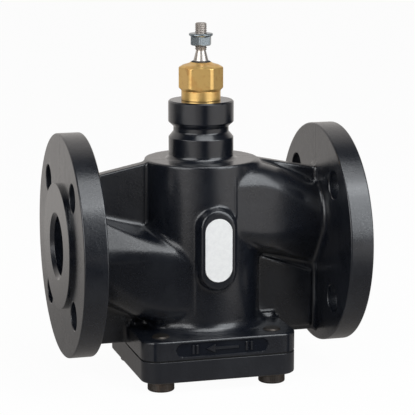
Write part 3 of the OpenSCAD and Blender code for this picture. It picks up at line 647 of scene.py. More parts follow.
class Graph:
    """A node tree that is built by calls."""

    def __init__(self, tree: bpy.types.NodeTree) -> None:
        """Start on an emptied node tree."""
        self.nodes, self.links = tree.nodes, tree.links
        self.nodes.clear()

    @classmethod
    def of_material(cls, name: str) -> tuple["Graph", bpy.types.Material]:
        """A new material of that name, and its tree."""
        material = bpy.data.materials.new(name)
        material.use_nodes = True
        return cls(material.node_tree), material

    def add(self, kind: str, settings: dict, values: dict, output: Union[int, str] = 0) -> Wire:
        """Add one node.

        Args:
            kind: the node's type.
            settings: its properties, set first; "stops" are the (place, colour) pairs of a ramp.
            values: a number, a colour or a wire for each input, by name, identifier or place.
            output: the output to take.

        Returns:
            The wrapped output.
        """
        node = self.nodes.new(kind)
        for key, value in settings.items():
            if key == "stops":
                for k, (place, colour) in enumerate(value):
                    ramp = node.color_ramp.elements
                    stop = ramp[k] if k < 2 else ramp.new(place)
                    stop.position, stop.color = place, (*colour, 1.0)
            else:
                setattr(node, key, value)
        for key, value in values.items():
            socket = self._find(node.inputs, key)
            if isinstance(value, Wire):
                value = value.socket
            if isinstance(value, bpy.types.NodeSocket):
                self.links.new(value, socket)
            elif socket.type == "RGBA" and len(value) == 3:
                socket.default_value = (*value, 1.0)
            else:
                socket.default_value = value
        return Wire(self, self._find(node.outputs, output))

    @staticmethod
    def _find(sockets: Iterable, key: Union[int, str]) -> bpy.types.NodeSocket:
        """The socket with that place, identifier or name."""
        if isinstance(key, int):
            return sockets[key]
        exact = [s for s in sockets if s.identifier == key]
        return exact[0] if exact else [s for s in sockets if s.name == key and s.enabled][0]

    def millimetres(self) -> Wire:
        """The piece's own coordinates, in millimetres."""
        where = self.add("ShaderNodeTexCoord", {}, {}, "Object")
        return self.add("ShaderNodeVectorMath", {"operation": "SCALE"}, {0: where, "Scale": 1 / MM})

    def parts(self, vector: Wire) -> tuple[Wire, Wire, Wire]:
        """The three parts of a vector."""
        split = self.add("ShaderNodeSeparateXYZ", {}, {0: vector})
        outputs = split.socket.node.outputs
        return Wire(self, outputs[0]), Wire(self, outputs[1]), Wire(self, outputs[2])

    def packed(self, x: Value, y: Value, z: Value) -> Wire:
        """A vector of three values."""
        return self.add("ShaderNodeCombineXYZ", {}, {0: x, 1: y, 2: z})

    def noise(self, where: Wire, scale: float, detail: float = 2.0, rough: float = 0.5) -> Wire:
        """Soft noise round one half, with so many waves per millimetre."""
        values = {"Vector": where, "Scale": scale, "Detail": detail, "Roughness": rough}
        return self.add("ShaderNodeTexNoise", {}, values, "Fac")

    def tinted(self, factor: Wire, a: Value, b: Value) -> Wire:
        """A colour between a and b."""
        return self.add("ShaderNodeMix", {"data_type": "RGBA"},
                        {"Factor_Float": factor, "A_Color": a, "B_Color": b}, "Result_Color")

    def bumped(self, height: Wire) -> Wire:
        """A normal from a height in millimetres."""
        return self.add("ShaderNodeBump", {}, {"Height": height, "Distance": MM}, "Normal")

    def finish(self, shader: Wire, kind: str = "ShaderNodeOutputMaterial") -> None:
        """Add an output node of that kind behind a shader."""
        self.links.new(shader.socket, self.nodes.new(kind).inputs["Surface"])


@dataclass(frozen=True)
class CastPaint:
    """Dark satin enamel over the skin of a sand casting."""

    name: str
    colour: Colour = (0.0040, 0.0054, 0.0092)
    worn: Colour = (0.0080, 0.0098, 0.0140)
    roughness: float = 0.30
    casting_bump: float = 0.17
    skin_bump: float = 0.075
    peel_bump: float = 0.022
    gloss: float = 1.0
    coat_roughness: float = 0.22
    speckle: float = 0.55
    seam: float = 0.0
    pocket_y: float = 0.0
    # how much of the pocket floor takes the matt, reflectionless painted shade
    pocket_dull: float = 0.75
    wave_scale: float = 0.11
    skin_scale: float = 0.6
    peel_scale: float = 2.6
    speck_scale: float = 1.15
    patch_scale: float = 0.045
    seam_scale: float = 0.08

    def build(self) -> bpy.types.Material:
        """The material: slow waves of the casting, finer orange peel, and a parting line.

        The floor of the pocket in the face at pocket_y is matt and reflects nothing, which darkens
        it: painted shade in the recess.
        """
        g, material = Graph.of_material(self.name)
        p = g.millimetres()
        waves, skin = g.noise(p, self.wave_scale, 1.5, 0.5), g.noise(p, self.skin_scale, 1.0, 0.5)
        grain, speck = g.noise(p, self.peel_scale, 1.0), g.noise(p, self.speck_scale, 2.0, 0.7)
        height = waves * self.casting_bump + skin * self.skin_bump + grain * self.peel_bump
        if self.seam:
            y = g.parts(p)[1] + (g.noise(p, self.seam_scale, 1.0) - 0.5) * 0.8
            height = height + (1 - abs(y).between(0.15, 0.75)) * self.seam
        patches = g.noise(p, self.patch_scale, 4.0, 0.6)
        colour = g.tinted(patches.between(0.42, 0.72), self.colour, self.worn)
        rough = (speck - 0.5) * (0.34 * self.speckle) + (patches - 0.5) * 0.14 + self.roughness
        gloss = ((speck - 0.5) * (-2.4 * self.speckle) + self.gloss * 0.8).limited()
        same = {"Base Color": colour, "Normal": g.bumped(height)}
        shader = g.add("ShaderNodeBsdfPrincipled", {}, same | {
            "Roughness": rough, "IOR": 1.5, "Coat Weight": gloss,
            "Coat Roughness": self.coat_roughness}, "BSDF")
        # painted shade: the pocket's floor mixes into a matt shader without reflection, so the
        # recess reads darker
        if self.pocket_y:
            depth = g.parts(p)[1] - self.pocket_y
            pocket_shade_mask = depth.between(0.3, 1.0) * (1 - depth.between(1.25, 1.6)) * self.pocket_dull
            matt = {"Roughness": 1.0, "Specular IOR Level": 0.0}
            dull = g.add("ShaderNodeBsdfPrincipled", {}, same | matt, "BSDF")
            shader = g.add("ShaderNodeMixShader", {}, {0: pocket_shade_mask, 1: shader, 2: dull})
        g.finish(shader)
        return material


@dataclass(frozen=True)
class Metal:
    """Bare or plated metal with its tool marks, stains and small dents."""

    name: str
    colour: Colour
    stain: Colour
    roughness: float
    lay: Lay = Lay.TURNED
    line_bump: float = 0.004
    stain_at: tuple[float, float] = (0.5, 0.75)
    metallic: float = 1.0
    mark_scale: float = 2.4
    cloud_scale: float = 0.14
    fine_scale: float = 3.1

    def _marks(self, g: Graph, p: Wire) -> Wire:
        """Noise that is drawn out along the tool marks."""
        if self.lay is Lay.TURNED:
            x, y, z = g.parts(p)
            across = (x * x + y * y) ** 0.5
            rings = g.packed(across * self.mark_scale, z * self.mark_scale, 0.0)
            return g.noise(rings, 1.0, 2.0, 0.6)
        return g.noise(p, 1.1, 4.0, 0.65)

    def build(self) -> bpy.types.Material:
        """The material: marks in height and roughness, and stains in colour."""
        g, material = Graph.of_material(self.name)
        p = g.millimetres()
        marks, cloud = self._marks(g, p), g.noise(p, self.cloud_scale, 2.0, 0.5)
        fine = g.noise(p, self.fine_scale, 2.0)
        stained = cloud.between(*self.stain_at)
        colour = g.tinted(stained, self.colour, self.stain)
        rough = stained * 0.16 + (marks - 0.5) * 0.14 + self.roughness
        height = marks * self.line_bump + fine * self.line_bump * 0.3 + cloud * self.line_bump * 3
        shader = g.add("ShaderNodeBsdfPrincipled", {}, {
            "Base Color": colour, "Roughness": rough, "Metallic": self.metallic,
            "Normal": g.bumped(height)}, "BSDF")
        g.finish(shader)
        return material


@dataclass(frozen=True)
class Plain:
    """A matt or waxy solid: rubber, plastic, fibre or a printed plate."""

    name: str
    colour: Colour
    second: Colour
    roughness: float
    grain: float = 0.8
    bump: float = 0.01
    soft: float = 0.0

    def build(self) -> bpy.types.Material:
        """The material: a mottled colour and a fine grain, and some light let in where soft."""
        g, material = Graph.of_material(self.name)
        p = g.millimetres()
        mottle = g.noise(p, self.grain * 0.3, 4.0, 0.6)
        fine = g.noise(p, self.grain * 2.5, 3.0, 0.6)
        colour = g.tinted(mottle.between(0.35, 0.7), self.colour, self.second)
        rough = (fine - 0.5) * 0.2 + self.roughness
        values = {"Base Color": colour, "Roughness": rough,
                  "Normal": g.bumped(fine * self.bump + mottle * self.bump)}
        if self.soft:
            values |= {"Subsurface Weight": self.soft, "Subsurface Scale": 0.002}
        g.finish(g.add("ShaderNodeBsdfPrincipled", {}, values, "BSDF"))
        return material


@dataclass
class Finishes:
    """All the finishes of the valve, built once."""

    body_paint: CastPaint = CastPaint("body enamel", seam=0.30)
    base_paint: CastPaint = CastPaint("base enamel", seam=0.30, pocket_y=-53.0)
    machined_paint: CastPaint = CastPaint("enamel on turned faces", casting_bump=0.04,
                                          skin_bump=0.02, peel_bump=0.004, roughness=0.22,
                                          speckle=0.35)
    cavity_paint: CastPaint = CastPaint("casting inside", colour=(0.012, 0.012, 0.0125),
                                        roughness=0.55, gloss=0.1)
    cover_paint: CastPaint = CastPaint("cover enamel", roughness=0.34, skin_bump=0.09, gloss=0.8)
    screw_steel: Metal = Metal("oiled black screws", (0.075, 0.066, 0.059), (0.105, 0.080, 0.064),
                               0.38, Lay.TUMBLED, 0.006, (0.48, 0.72), 0.85)
    gland_brass: Metal = Metal("gland brass", (0.90, 0.585, 0.205), (0.76, 0.42, 0.13), 0.30,
                               Lay.TURNED, 0.005, (0.50, 0.72), 0.76)
    bush_bronze: Metal = Metal("bush bronze", (0.60, 0.37, 0.19), (0.42, 0.24, 0.12), 0.34)
    stem_steel: Metal = Metal("ground stem steel", (0.62, 0.575, 0.53), (0.50, 0.455, 0.41), 0.30,
                              Lay.TURNED, 0.002, metallic=0.8)
    thread_steel: Metal = Metal("dull thread steel", (0.46, 0.42, 0.385), (0.36, 0.32, 0.285), 0.46,
                                Lay.TUMBLED, 0.001, metallic=0.8)
    zinc_plate: Metal = Metal("clear zinc plate", (0.34, 0.395, 0.43), (0.26, 0.31, 0.345), 0.17,
                              Lay.TUMBLED, 0.0006, (0.55, 0.8), metallic=0.85)
    trim_steel: Metal = Metal("turned trim steel", (0.60, 0.59, 0.57), (0.44, 0.42, 0.40), 0.27)
    cone_brass: Metal = Metal("cone brass", (0.76, 0.55, 0.25), (0.50, 0.33, 0.15), 0.30)
    spring_steel: Metal = Metal("spring wire", (0.50, 0.50, 0.50), (0.34, 0.33, 0.32), 0.30,
                                Lay.TUMBLED)
    plate_grey: Plain = Plain("pale plate", (0.70, 0.70, 0.69), (0.65, 0.65, 0.645),
                              0.36, 1.2, 0.002)
    black_rubber: Plain = Plain("black rubber", (0.016, 0.016, 0.017), (0.030, 0.029, 0.028),
                                0.52, 1.4, 0.012)
    white_ptfe: Plain = Plain("white packing", (0.80, 0.79, 0.75), (0.70, 0.69, 0.64),
                              0.34, 0.7, 0.004, 0.2)
    gasket_fibre: Plain = Plain("gasket fibre", (0.006, 0.006, 0.006), (0.014, 0.014, 0.012),
                                0.92, 2.2, 0.03)
    built: dict[str, bpy.types.Material] = field(default_factory=dict)

    def get(self, slot: str) -> bpy.types.Material:
        """The material of a slot or finish, built when first asked for."""
        if slot not in self.built:
            self.built[slot] = getattr(self, slot).build()
        return self.built[slot]


# ---- The casting ----------------------------------------------------------------------------


@dataclass
class Part:
    """A sub-assembly that puts its own surfaces into the scene."""

    finishes: Finishes

    def put(self, skin: Skin, name: str, finish: str, slot: str = "body_paint",
            node: str = "valve_body", body: Body = Body.VALVE, crease: float = 32.0) -> None:
        """Make one piece of the visual model.

        Args:
            skin: its surface.
            name: its name.
            finish: the finish that it wears.
            slot: the record's material slot that it stands for; not used.
            node: the CAD node that it hides.
            body: the body that it rides on.
            crease: the angle in degrees past which an edge stays sharp.
        """
        piece = skin.to_object(name, self.finishes.get(finish), crease)
        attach(piece, body.value)
        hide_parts(node)


@dataclass
class CastBody(Part):
    """The middle of the body casting, from one flange's back to the other's."""

    barrel: tuple[float, float] = (38.8, 38.2)
    foot_z: float = 30.0
    top_z: float = 148.2
    barrel_edge: float = 1.0
    foot_r: float = 48.5
    foot_top: float = 35.9
    foot_fillet: float = 7.0
    passage_fillet: float = 6.0
    back_x: float = 81.1
    slab_reach: float = 6.0
    slab_fillet: float = 4.0
    end_x: float = 83.2
    web: Plate = Plate(
        5.0, ((14, 147), (38.2, 147), (83, 137.8), (83, 24.5), (14, 24.5)), 1.4, 3.0)
    pads: Plate = Plate(9.0, ((-50, 40), (50, 40), (50, 30), (-50, 30)), 2.2, 3.0)
    panel: Plate = Plate(
        6.5, ((14, 84), (38.8, 80.5), (77.5, 66.5), (77.5, 28), (14, 28)), 0.9, 1.2)
    strip: Plate = Plate(
        14.0, ((-52.8, 35.9), (52.8, 35.9), (52.8, 25), (-52.8, 25)), 0.1, 0.1)
    boss_w: float = 23.3
    boss_h: float = 53.0
    boss_reach: float = 43.5
    boss_back: float = 30.0
    boss_slope: float = 0.265
    boss_edge: float = 0.7
    boss_fillet: float = 2.2
    bores: tuple[tuple[float, float, float], ...] = (
        (31.0, 18.0, 88.5), (31.0, 97.5, 140.2), (26.0, 80.0, 105.0), (8.0, 130.0, 156.2))
    bore_edge: float = 0.05
    wall: float = 5.5
    mouth_x: float = 85.5
    cell: float = 1.25
    cavity_cell: float = 1.6
    quick_cell: float = 2.2

    def _webs(self, p: Array) -> Form:
        """The plates of both webs, one the mirror of the other."""
        q = p.copy()
        q[:, 0] = np.abs(p[:, 0])
        web = upright(q, self.web)
        web.away[:, 0] *= np.where(p[:, 0] < 0, -1, 1)
        return web

    def _boss(self, p: Array) -> Form:
        """The boss: a stadium that widens steadily from its face to its root."""
        down = (p[:, 1] + self.boss_reach) * self.boss_slope
        tall = np.maximum(np.abs(p[:, 2] - AXIS_Z) - (self.boss_h - self.boss_w) / 2, 0)
        length = np.maximum(np.hypot(p[:, 0], tall), 1e-6)
        slant = math.sqrt(1 + self.boss_slope ** 2)
        away = np.stack([p[:, 0] / length, 0 * length - self.boss_slope,
                         np.sign(p[:, 2] - AXIS_Z) * tall / length], axis=1) / slant
        side = Form((length - self.boss_w / 2 - down) / slant, away)
        face = Form(-self.boss_reach - p[:, 1], np.zeros_like(p) + [0, -1, 0])
        return side.met(face, self.boss_edge).cut(p[:, 1] + self.boss_back, [0, 1, 0])

    def outside(self, p: Array, directions: int) -> Form:
        """The whole outside of the middle, with a fillet at each joint.

        The foot fillets stand on a disc and a strip just under the base flange's top. At each end
        a slab stands for the flange's back, only near the passages and webs that reach it.

        Args:
            p: the points, in millimetres.
            directions: the number of directions that are tried in the passages.

        Returns:
            The outside as a form.
        """
        ways = Passage()
        right = ways.form(p, directions)
        left = half_turned_form(lambda q: ways.form(q, directions), p)
        web = self._webs(p)
        foot = bar(p, self.foot_r, self.foot_r, self.foot_z, self.foot_top)
        foot = foot.joined(upright(p, self.strip), self.strip.fillet)
        form = bar(p, *self.barrel, self.foot_z, self.top_z, self.barrel_edge)
        form = form.joined(foot, self.foot_fillet).joined(right, self.passage_fillet)
        form = form.joined(left, self.passage_fillet).joined(web, self.web.fillet)
        for plate in (self.pads, self.panel):
            form = form.joined(upright(p, plate), plate.fillet)
        form = form.joined(self._boss(p), self.boss_fillet).cut(p[:, 2] - self.top_z, [0, 0, 1])
        side = np.abs(p[:, 0])
        near = np.minimum(np.minimum(right.distance, left.distance), web.distance)
        inwards = -np.sign(p[:, :1]) * [1, 0, 0]
        slab = Form(np.maximum(self.back_x - side, near - self.slab_reach), inwards)
        return form.joined(slab, self.slab_fillet).cut(side - self.end_x, -inwards)

    def inside(self, p: Array, directions: int) -> Form:
        """The chambers, the bridge's bore and both channels, at the points p."""
        channel = Passage(stations=(7.2, 39.0, self.mouth_x), root=(35.4, 54.0, -1.0),
                          inset=self.wall)

        def way(q: Array) -> Form:
            """One channel, with the cone that opens it into the port."""
            form = channel.form(q, directions).cut(q[:, 0] - self.mouth_x, [1, 0, 0])
            up = q[:, 2] - AXIS_Z
            across = np.maximum(np.hypot(q[:, 1], up), 1e-6)
            radial = np.stack([0 * up, q[:, 1] / across, up / across], axis=1)
            radius = np.clip(15 + 5 * (q[:, 0] - 81) / 7, 15, 20)
            ends = Form(np.abs(q[:, 0] - self.mouth_x) - 5, np.sign(q[:, :1] - 85) * [1, 0, 0])
            return form.joined(Form(across - radius, radial).met(ends, self.bore_edge), 1.0)

        bores = (bar(p, r, r, z0, z1) for r, z0, z1 in self.bores)
        form = reduce(lambda one, other: one.joined(other, self.bore_edge), bores)
        return form.joined(way(p), 2.0).joined(half_turned_form(way, p), 2.0)

    def build(self) -> None:
        """Make the casting's middle, and its inside, open at the ports and at the foot."""
        cell = self.cell
        middle = skinned(self.outside, (-84.6, -51, 22.6), (84.6, 51, 150.4), cell)
        self.put(middle, "casting_middle", "body_paint", crease=62)
        cell = max(cell, self.cavity_cell)
        hollow = skinned(self.inside, (-92.2, -33, 19), (92.2, 33, 158), cell)
        hollow = hollow.kept(lambda m: (np.abs(m[:, 0]) < 88.4) & (m[:, 2] > 23.1)).flipped()
        self.put(hollow, "casting_inside", "cavity_paint", crease=40)


def quarter_rays(hole: float, outside: Callable[[Array, Array], Array],
                 corners: Sequence[tuple[float, float]], count: int = 120) -> tuple[Array, Array]:
    """Rays from the middle of a hole to the edge of the quarter of a plate that it lies in.

    The edge lies where the test turns positive along the ray, found by halving. Some rays pass
    through the quarter's corners, so that neighbours share points.

    Args:
        hole: both coordinates of the hole's middle.
        outside: the test, positive outside the quarter, for arrays of both coordinates.
        corners: the quarter's corners.
        count: the number of rays besides those.

    Returns:
        The rays' directions and the edge points, both as (2, rays).
    """
    places = np.array(corners) - hole
    angles = np.concatenate([np.linspace(-np.pi, np.pi, count, endpoint=False),
                             np.arctan2(places[:, 1], places[:, 0])])
    angles = np.unique(np.round(angles % (2 * np.pi), 9))
    rays = np.stack([np.cos(angles), np.sin(angles)])
    near, far = np.zeros_like(angles), np.full_like(angles, 120.0)
    for _ in range(44):
        half = (near + far) / 2
        out = outside(*(hole + half * rays)) > 0
        near, far = np.where(out, near, half), np.where(out, half, far)
    return rays, hole + near * rays


def in_quarters(draw: Callable[[int, int], Skin]) -> Skin:
    """Four quarters in one surface.

    Args:
        draw: gives the quarter whose two coordinates have the signs a and b. Where a and b differ
            it comes mirrored, so its faces are turned round.

    Returns:
        The surface.
    """
    quarters = []
    for a, b in ((1, 1), (-1, 1), (-1, -1), (1, -1)):
        quarters.append(draw(a, b) if a * b > 0 else draw(a, b).flipped())
    return reduce(Skin.__add__, quarters)


@dataclass
class PipeFlange(Part):
    """One pipe flange of the casting, drawn as the inlet's and turned half round for the outlet."""

    outlet: bool
    rim_r: float = 75.0
    edge: float = 1.0
    back_x: float = 81.0
    face_x: float = 97.0
    end_x: float = 100.0
    step_r: float = 42.0
    under_r: float = 30.0
    bolt_r: float = 55.0
    hole_r: float = 9.5
    hole_edge: float = 0.5
    port_r: float = 20.0
    port_x: float = 88.0
    mouth: float = 2.5
    overlap: float = 2.5
    shares: tuple[float, ...] = (0.0, 0.02, 0.35, 1.0)

    def _quarter(self, side: int, up: int) -> Skin:
        """One quarter: a grid runs in over the face, through the hole and out over the back.

        Args:
            side: the sign of its y.
            up: the sign of its height over the pipe axis.

        Returns:
            The quarter with its part of the rim, facing outwards where the signs agree.
        """
        at, limit, inner = self.bolt_r / math.sqrt(2), self.rim_r - self.edge, self.under_r
        ways = Passage()

        def before(y: Array, z: Array) -> Array:
            """Past the rim, past the quarter's two lines, or under the raised face."""
            return np.max([np.hypot(y, z) - limit, -y, -z, inner - np.hypot(y, z)], axis=0)

        def behind(y: Array, z: Array) -> Array:
            """The same behind, down to the passage's wall."""
            p = np.stack([np.full(y.size, self.back_x + 0.5), y * side, AXIS_Z + z * up], axis=1)
            wall = ways.form(p, 180).distance + self.overlap
            return np.max([np.hypot(y, z) - limit, -y, -z, -wall], axis=0)

        corners = [(limit, 0), (0, limit), (inner, 0), (0, inner), (20.5, 0), (0, 20.5), (0, 32),
                   (28.4, 0)]
        rays, face = quarter_rays(at, before, corners)
        _, back = quarter_rays(at, behind, corners)
        wide, bore = at + (self.hole_r + self.hole_edge) * rays, at + self.hole_r * rays
        rows = [(self.face_x, face + (wide - face) * share) for share in self.shares]
        rows += [(self.face_x - self.hole_edge, bore), (self.back_x + self.hole_edge, bore)]
        rows += [(self.back_x, back + (wide - back) * share) for share in reversed(self.shares)]
        on_rim = np.flatnonzero(np.hypot(*face) > limit - 1e-4)
        on_rim = on_rim[np.argsort(np.arctan2(face[1, on_rim], face[0, on_rim]))]
        bend = eased([(limit - 1, self.face_x, 0), (self.rim_r, self.face_x, self.edge),
                      (self.rim_r, self.back_x, self.edge), (limit - 1, self.back_x, 0)], 4)[2:-2]
        rim = [(x, r * (face[:, on_rim] / limit)) for r, x in bend]
        disc, strip = (np.stack([np.stack([x + 0 * y, y * side, AXIS_Z + z * up], axis=-1)
                                 for x, (y, z) in part]) for part in (rows, rim))
        return Skin.grid(disc, ring_columns=True) + Skin.grid(strip).flipped()

    def build(self) -> None:
        """Make the flange's disc, and its raised face with the port's bore as one turned ring."""
        disc = in_quarters(self._quarter).welded(2e-3)
        port = turned_on_pipe(eased([
            (self.under_r, self.port_x, 0), (self.port_r, self.port_x, 0),
            (self.port_r, self.end_x - self.mouth, 0.3),
            (self.port_r + self.mouth, self.end_x, 0.3),
            (self.step_r, self.end_x, 0.35), (self.step_r, self.face_x - 0.5, 0),
            (self.under_r, self.port_x, 0)], 3))
        name = "outlet" if self.outlet else "inlet"
        for skin, part, finish in ((disc, "flange", "body_paint"),
                                   (port, "raised_face", "machined_paint")):
            self.put(skin.turned_half() if self.outlet else skin, f"{name}_{part}", finish)


def square_outline(half: float, corner: float, inset: float, front: Array, side: Array) -> Array:
    """Points round a square with round corners.

    Each straight side keeps its own places along it, and each corner is an arc about the same
    middle for every inset, so rings of different insets match point by point.

    Args:
        half: half the square's width.
        corner: the radius of its corners.
        inset: how far the ring lies inside the outline.
        front: places along the side at -Y, from -1 to 1.
        side: places along the other three sides.

    Returns:
        An array of (count, 2).
    """
    flat, radius = half - corner, corner - inset
    arc = np.linspace(0, np.pi / 2, 11)[1:-1]
    out = []
    for k, places in enumerate((front, side, side, side)):
        line = np.stack([places * flat, np.full_like(places, inset - half)], axis=1)
        bend = np.stack([flat + radius * np.sin(arc), -flat - radius * np.cos(arc)], axis=1)
        cos, sin = math.cos(k * np.pi / 2), math.sin(k * np.pi / 2)
        out.append(np.vstack([line, bend]) @ np.array([[cos, sin], [-sin, cos]]))
    return np.vstack(out)


@dataclass
class BaseFlange(Part):
    """The square flange at the body's foot, with its front pocket and raised flow arrow."""

    half: float = 53.0
    corner: float = 12.0
    z0: float = 23.0
    z1: float = 36.0
    edge: float = 1.3
    inner: float = 6.0
    bore_r: float = 31.0
    pocket: tuple[float, float, float] = (63.0, 9.0, 1.2)
    arrow: tuple[float, float] = (22.0, 6.0)
    marks_under: float = 0.1
    fine: tuple[float, float] = (33.0, 0.4)

    def _relief(self, x: Array, up: Array) -> Array:
        """How deep the front face lies at (x, up) in its plane, with up over the pocket's middle.

        The pocket is a stadium's distance run through a smooth step. The arrow and the plain bars
        stand in it, each by the same step on its own distance.
        """
        wide, high, deep = self.pocket
        away = np.hypot(np.maximum(np.abs(x) - (wide - high) / 2, 0), up) - high / 2
        long, broad = self.arrow
        shaft = np.maximum(np.abs(x - broad / 2) - (long - broad) / 2, np.abs(up) - broad / 6)
        head = np.maximum(x + long / 2 - broad, (np.abs(up) - (x + long / 2) / 2) * 0.89)
        marks = np.minimum(shaft, head)
        for k in (0, 1):
            off = np.abs(np.abs(x) - (long / 2 + broad + k * broad / 2))
            marks = np.minimum(marks, np.maximum(off - broad / 8, np.abs(up) - broad / 2))

        def step(d: Array, soft: float) -> Array:
            """1 inside, 0 outside, and smooth over the width soft."""
            t = np.clip(0.5 - d / soft, 0, 1)
            return t * t * (3 - 2 * t)

        return deep * step(away, 0.5) - (deep - self.marks_under) * step(marks - 0.1, 0.45)

    def build(self) -> None:
        """Make the flange as one closed ring of rows from the bore round the outside and back."""
        flat, (end, pitch) = self.half - self.corner, self.fine
        coarse = np.linspace(end + pitch, flat, 5)
        front = np.concatenate([-coarse[::-1], np.arange(-end, end + 0.01, pitch), coarse]) / flat
        side = np.linspace(-1, 1, 15)
        profile = eased([(self.inner, self.z0, 0), (0, self.z0, 0.25), (0, self.z1, self.edge),
                         (self.inner, self.z1, 0)], 4)
        split = int(np.argmax(np.diff(profile[:, 1]))) + 1
        heights = np.linspace(profile[split - 1, 1], profile[split, 1], 42)[1:-1]
        profile = np.insert(profile, split, np.stack([0 * heights, heights], axis=1), axis=0)
        rows = []
        for inset, z in profile:
            ring = square_outline(self.half, self.corner, inset, front, side)
            on_front = (np.abs(ring[:, 1] + self.half) < 1e-6) & (abs(inset) < 1e-9)
            up = np.full(len(ring), z - (self.z0 + self.z1) / 2)
            ring[:, 1] += np.where(on_front, self._relief(ring[:, 0], up), 0)
            rows.append(np.column_stack([ring, np.full(len(ring), z)]))
        ring = square_outline(self.half, self.corner, self.inner, front, side)
        ring = ring / np.linalg.norm(ring, axis=1)[:, None]
        for r, z in ((self.bore_r + 2, self.z1), (self.bore_r, self.z1), (self.bore_r, self.z0)):
            rows.append(np.column_stack([ring * r, np.full(len(ring), z)]))
        skin = Skin.grid(np.stack(rows), ring_rows=True, ring_columns=True).welded().outward()
        self.put(skin, "base_flange", "base_paint")


@dataclass
class Neck(Part):
    """The turned neck with its yoke groove, the actuator collar and the gland's bore."""

    root_z: float = 148.2
    root_r: float = 29.0
    neck_r: float = 21.8
    neck_z: float = 162.7
    groove: tuple[float, float, float] = (18.6, 166.6, 170.0)
    collar: tuple[float, float, float] = (22.0, 173.1, 187.5)
    bore_r: float = 12.05
    floor_z: float = 161.5
    stem_hole: tuple[float, float] = (5.6, 156.2)
    bush_hole: tuple[float, float] = (8.0, 141.0)

    def build(self) -> None:
        """Turn one closed profile, up the outside, over the collar and down the bore."""
        groove_r, z0, z1 = self.groove
        r, c0, c1 = self.collar
        hole_r, hole_z = self.stem_hole
        bush_r, low_z = self.bush_hole
        root = (self.root_r, self.root_z - 3, 0)
        self.put(turned(eased([
            root, (self.root_r - 0.1, self.root_z - 0.03, 0),
            (self.neck_r, self.root_z - 0.02, 3.0), (self.neck_r, self.neck_z, 0.7),
            (groove_r, z0, 1.2), (groove_r, z1, 1.2), (r, c0, 0.7), (r, c1 - 1.0, 0.3),
            (r - 1.0, c1, 0.3), (self.bore_r + 0.8, c1, 0.2), (self.bore_r, c1 - 0.8, 0.2),
            (self.bore_r, self.floor_z, 0.5), (hole_r, self.floor_z, 0.2), (hole_r, hole_z, 0),
            (bush_r, hole_z, 0), (bush_r, low_z, 0), root], 5), 160),
            "actuator_neck", "machined_paint")


@dataclass
class BottomCover(Part):
    """The square bottom cover with its counterbores, its spigot, and the four screws."""

    half: float = 53.0
    corner: float = 12.0
    z0: float = 7.5
    z1: float = 22.0
    edge: float = 1.4
    hole_at: float = 38.5
    sink_r: float = 10.0
    sink_z: float = 12.0
    sink_edge: float = 0.5
    hole_r: float = 6.1
    spigot: tuple[tuple[float, float, float], ...] = (
        (0, 20, 0), (25.7, 20, 1.5), (25.7, 27, 0.3), (30.7, 27, 0.5), (30.7, 21.9, 0),
        (0, 21.5, 0))

    def _quarter(self, sx: int, sy: int) -> Skin:
        """One quarter of the plate, with the signs sx and sy of its coordinates.

        A grid runs from the lower edge into the counterbore, up the hole, over the top, and down
        the side.
        """
        flat, inner = self.half - self.corner, self.corner - self.edge
        limit = flat + inner

        def outline(x: Array, y: Array) -> Array:
            """The distance past the inset outline, or past the quarter's two lines."""
            cx, cy = x - flat, y - flat
            beyond = np.hypot(np.maximum(cx, 0), np.maximum(cy, 0))
            return np.max([beyond + np.minimum(np.maximum(cx, cy), 0) - inner, -x, -y], axis=0)

        corners = [(0, 0), (limit, 0), (0, limit), (limit, flat), (flat, limit)]
        rays, edge = quarter_rays(self.hole_at, outline, corners, 96)
        over = np.maximum(edge - flat, 0)
        outer = (edge > 1e-6).all(axis=0) | (edge.max(axis=0) > limit - 1e-5)
        out = np.where(outer, over / np.maximum(np.hypot(*over), 1e-9), 0)
        lower, sink, bore = (self.hole_at + r * rays
                             for r in (self.sink_r + self.sink_edge, self.sink_r, self.hole_r))
        bend = eased([(self.edge + 1, self.z1, 0), (0, self.z1, 0.3), (0, self.z0, self.edge),
                      (self.edge + 1, self.z0, 0)], 4)[2:-3]
        rows = [(edge + (lower - edge) * share, self.z0) for share in (0.0, 0.03, 1.0)]
        rows += [(sink, self.z0 + self.sink_edge), (sink, self.sink_z), (bore, self.sink_z),
                 (bore, self.z1), (edge + out * (self.edge - 0.3), self.z1)]
        rows += [(edge + out * (self.edge - inset), z) for inset, z in bend]
        points = np.stack([np.stack([x * sx, y * sy, z + 0 * x], axis=-1) for (x, y), z in rows])
        return Skin.grid(points, ring_rows=True, ring_columns=True)

    def _plate(self) -> Skin:
        """The four quarters, without the walls where they meet."""
        skin = in_quarters(self._quarter).welded(1e-3)
        reach = np.abs(skin.points[skin.faces[:, :3]][..., :2]).max(axis=1).min(axis=1)
        return Skin(skin.points, skin.faces[reach >= 1e-6]).outward()

    def build(self) -> None:
        """Make the plate with its spigot, and the four screws."""
        spigot = turned(eased(self.spigot, 3), 128)
        self.put(self._plate() + spigot, "bottom_cover_plate", "cover_paint", "cover_paint",
                 "bottom_cover")
        for k, (sx, sy) in enumerate(((-1, -1), (1, -1), (1, 1), (-1, 1)), 1):
            screw = SocketScrew().skin().shifted(sx * self.hole_at, sy * self.hole_at)
            self.put(screw, f"cover_screw_{k}", "screw_steel", "screw_steel", "cover_screws",
                     crease=28)


